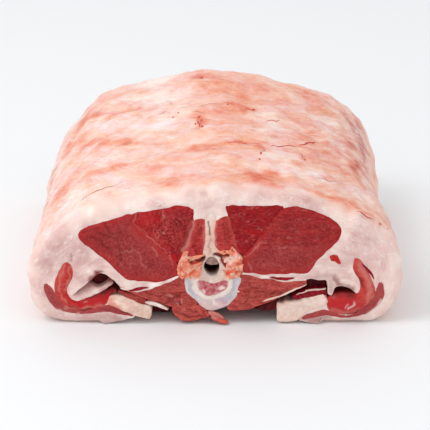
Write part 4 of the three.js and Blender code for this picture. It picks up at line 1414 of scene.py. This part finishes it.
def lump(middle, axes, seed):
    """A closed lump: a ball over latitude and longitude, stretched by three axis vectors, with its radius
    varied by noise."""
    latitude = np.linspace(-LUMP_END, LUMP_END, LUMP_ROWS)[:, None]
    longitude = np.linspace(0, 2 * np.pi, LUMP_COLUMNS, endpoint=False)[None]
    ball = np.stack([np.cos(latitude) * np.cos(longitude), np.cos(latitude) * np.sin(longitude),
                     np.sin(latitude) + 0 * longitude], axis=-1)
    ball = ball * (1 + LUMP_RELIEF * waves(ball, 1.6, seed))[..., None]
    return np.array(middle, float) + ball @ np.array(axes, float), True


def gathered(forms):
    """One shape of many tubes and lumps: their grids of points joined into rings, with both ends closed."""
    points, faces, start = [], [], 0
    for grid, forward in forms:
        rows, columns = grid.shape[:2]
        index = start + np.arange(rows * columns).reshape(rows, columns)
        here, beside = index, np.roll(index, -1, axis=1)
        quads = np.stack([here[:-1], beside[:-1], beside[1:], here[1:]], axis=-1).reshape(-1, 4)
        ends = [index[0][::-1].tolist(), index[-1].tolist()]
        rings = quads.tolist() + ends
        faces += rings if forward else [ring[::-1] for ring in rings]
        points.append(grid.reshape(-1, 3))
        start += rows * columns
    return {"points": np.concatenate(points), "faces": faces}


# %% Veins and dots on the skin
VEIN_SUNK = 0.4
DOT_THICKNESS = 0.35
DOT_SEED = 70
BLOOD = [
    # radius, then points round the back and along
    (0.5, (28, -31), (36, -29), (45, -25), (50, -21)),
    (0.8, (48, -22.4), (53, -18), (58, -11), (63, -3)),
    (0.5, (30, 14), (36, 17), (41, 21)),
    (0.45, (-11, 21), (-10, 10), (-9, 0), (-9, -10)),
    (0.35, (-12, 8), (-9, 4), (-5, 5)),
    (0.35, (-7, 14), (-8, 6), (-7, -4)),
    (0.4, (8, -29), (16, -30), (28, -31)),
    (0.4, (80, -104.4), (86, -103.8), (92, -103)),
]
VEINS = [
    # in the same way
    (0.35, (28, -31), (29, -38), (27, -52)),
    (0.45, (51, -31), (51, -40), (53, -44)),
    (0.35, (-36, 29), (-30, 29), (-27, 27)),
    (0.3, (-20, 28), (-10, 29), (0, 31), (8, 31)),
    (0.35, (-14, 22), (-8, 18), (-2, 16)),
    (0.35, (-62, -13), (-55, -15), (-48, -16)),
    (0.5, (-79, -89), (-76, -83), (-70, -79), (-62, -78), (-50, -74)),
    (0.35, (55, -70), (66, -66), (78, -68)),
]
DOTS = [
    # round the back, along, half width, half length
    (-25, 20, 0.9, 1.2), (-22, 24, 0.6, 0.7), (24.5, 30, 0.7, 1.0), (8, 31, 0.9, 0.7),
    (-10, 15, 0.6, 1.2), (-8, 7, 0.6, 1.2), (-11, 1, 0.5, 1.2), (-7, -5, 0.6, 1.2), (27, -49, 0.9, 2.0),
    (26, -57, 0.6, 1.1), (53, -44, 0.8, 0.9), (-8, 83, 0.9, 1.8), (97, -101, 0.5, 0.7), (103, -98, 0.5, 0.8),
]


def vein(radius, *points):
    """A thread on the skin through points round the back and along, wandering a little."""
    path = evened_open(np.array(points, float), 1.0)
    path[:, 0] += 0.5 * waves(path, 6, 61)
    path[:, 1] += 0.9 * waves(path, 6, 62)
    return tube(on_skin(path) - [0, 0, VEIN_SUNK * radius], radius)


def dot(middle, at, half_round, half_along, seed):
    """A flat lump on the skin, laid along its slope."""
    here, right, rear = on_skin(np.array([[middle, at], [middle + 1, at], [middle, at + 1]]))
    across, back = right - here, rear - here
    up = DOT_THICKNESS * np.cross(across, back)
    return lump(here, [across * half_round, back * half_along, up], seed)


marks = [vein(*row) for row in BLOOD] + [dot(*row, DOT_SEED + k) for k, row in enumerate(DOTS)]
mesh_piece("skin_marks", gathered(marks), FINISHES["blood"], None, "cap_meat")
mesh_piece("skin_veins", gathered([vein(*row) for row in VEINS]), FINISHES["vein"], None, "fat")

# %% Crumbs on the cut
CRUMB_SEED = 90
LOOKS = {
    "plain": {},
    "cream": {"pale": 0.6},
    "red": {"fresh": 0.85},
    "wet": {"fresh": 0.7, "wet": 1.0},
}
CRUMBS = [
    # x, z, half sizes along, across and outwards, turn in degrees, finish, look
    (13.4, 19.8, 1.1, 0.9, 0.8, 0, "gristle", "plain"),
    (0.6, 5.2, 4.4, 1.7, 3.0, -28, "fillet_meat", "cream"),
    (3.4, 2.7, 4.8, 1.3, 3.0, -13, "fillet_meat", "red"),
    (-4.8, 5.8, 4.4, 2.2, 3.0, -14, "fillet_meat", "plain"),
    (5.4, 2.0, 2.6, 0.8, 2.0, -12, "fillet_meat", "cream"),
    (78.4, 13.1, 4.2, 0.8, 1.6, 37, "flank_meat", "wet"),
    (75.4, 12.6, 2.0, 0.6, 1.4, 40, "flank_meat", "wet"),
    (67.8, 13.4, 1.6, 0.8, 1.4, 70, "flank_meat", "wet"),
    (65.2, 13.0, 1.2, 0.7, 1.2, 80, "flank_meat", "wet"),
    (66.0, 9.8, 1.4, 0.7, 1.2, -30, "flank_meat", "wet"),
]


def crumb(x, z, half_long, half_wide, half_out, turn, seed):
    """A lump on the front cut, turned in the section."""
    cos, sin = math.cos(math.radians(turn)), math.sin(math.radians(turn))
    middle = (x, FRONT + cut_relief(np.array([[x, z]]))[0], z)
    return lump(middle, [(cos * half_long, 0, sin * half_long), (-sin * half_wide, 0, cos * half_wide),
                         (0, -half_out, 0)], seed)


for slot, look in sorted({row[-2:] for row in CRUMBS}):
    forms = [crumb(*row[:6], CRUMB_SEED + k) for k, row in enumerate(CRUMBS) if row[-2:] == (slot, look)]
    shape = gathered(forms)
    paint = {layer: np.full(len(shape["points"]), value) for layer, value in LOOKS[look].items()}
    mesh_piece(f"crumbs_{slot}_{look}", shape, FINISHES[slot], None, slot, **paint)

# %% [markdown]
# ## Floor, light and camera
#
# The joint lies on a plain pale floor under soft studio light: a large softbox high on the left, and even
# light from all round. The camera looks down by twenty degrees.

# %% Floor
FLOOR_SIZE = 8
FLOOR_TONE = (0.872, 0.888, 0.904, 1)
bpy.ops.mesh.primitive_plane_add(size=FLOOR_SIZE)
floor = bpy.context.object
floor.name = "floor"
floor_finish = material("floor", **{"Base Color": FLOOR_TONE, "Roughness": 0.6, "Specular IOR Level": 0.2})[0]
floor.data.materials.append(floor_finish)
print("floor of", FLOOR_SIZE, "m")

# %% Light
WORLD_STRENGTH = 0.87
KEY_PLACE = (-0.9, -0.5, 1.3)
KEY_AIM = (0, 0, 0.05)
KEY_SIZE = 0.8
KEY_POWER = 8.5
world = bpy.data.worlds.new("studio")
bpy.context.scene.world = world
world.use_nodes = True
background = world.node_tree.nodes["Background"]
background.inputs["Color"].default_value = (1, 1, 1, 1)
background.inputs["Strength"].default_value = WORLD_STRENGTH
softbox = bpy.data.lights.new("key", "AREA")
softbox.energy = KEY_POWER
softbox.size = KEY_SIZE
key = bpy.data.objects.new("key", softbox)
key.location = KEY_PLACE
key.rotation_euler = (Vector(KEY_AIM) - Vector(KEY_PLACE)).to_track_quat("-Z", "Y").to_euler()
bpy.context.scene.collection.objects.link(key)
print("light from", KEY_PLACE, "and all round")

# %% Camera
LENS = 177.15
SENSOR = 36
CAMERA_PLACE = (0.0003, -1.2115, 0.4685)
CAMERA_TILT = 70
bpy.context.scene.view_settings.view_transform = "Standard"
camera_data = bpy.data.cameras.new("camera")
camera_data.lens = LENS
camera_data.sensor_width = SENSOR
camera = bpy.data.objects.new("camera", camera_data)
camera.location = CAMERA_PLACE
camera.rotation_euler = (math.radians(CAMERA_TILT), 0, 0)
bpy.context.scene.collection.objects.link(camera)
bpy.context.scene.camera = camera
print("camera at", CAMERA_PLACE)
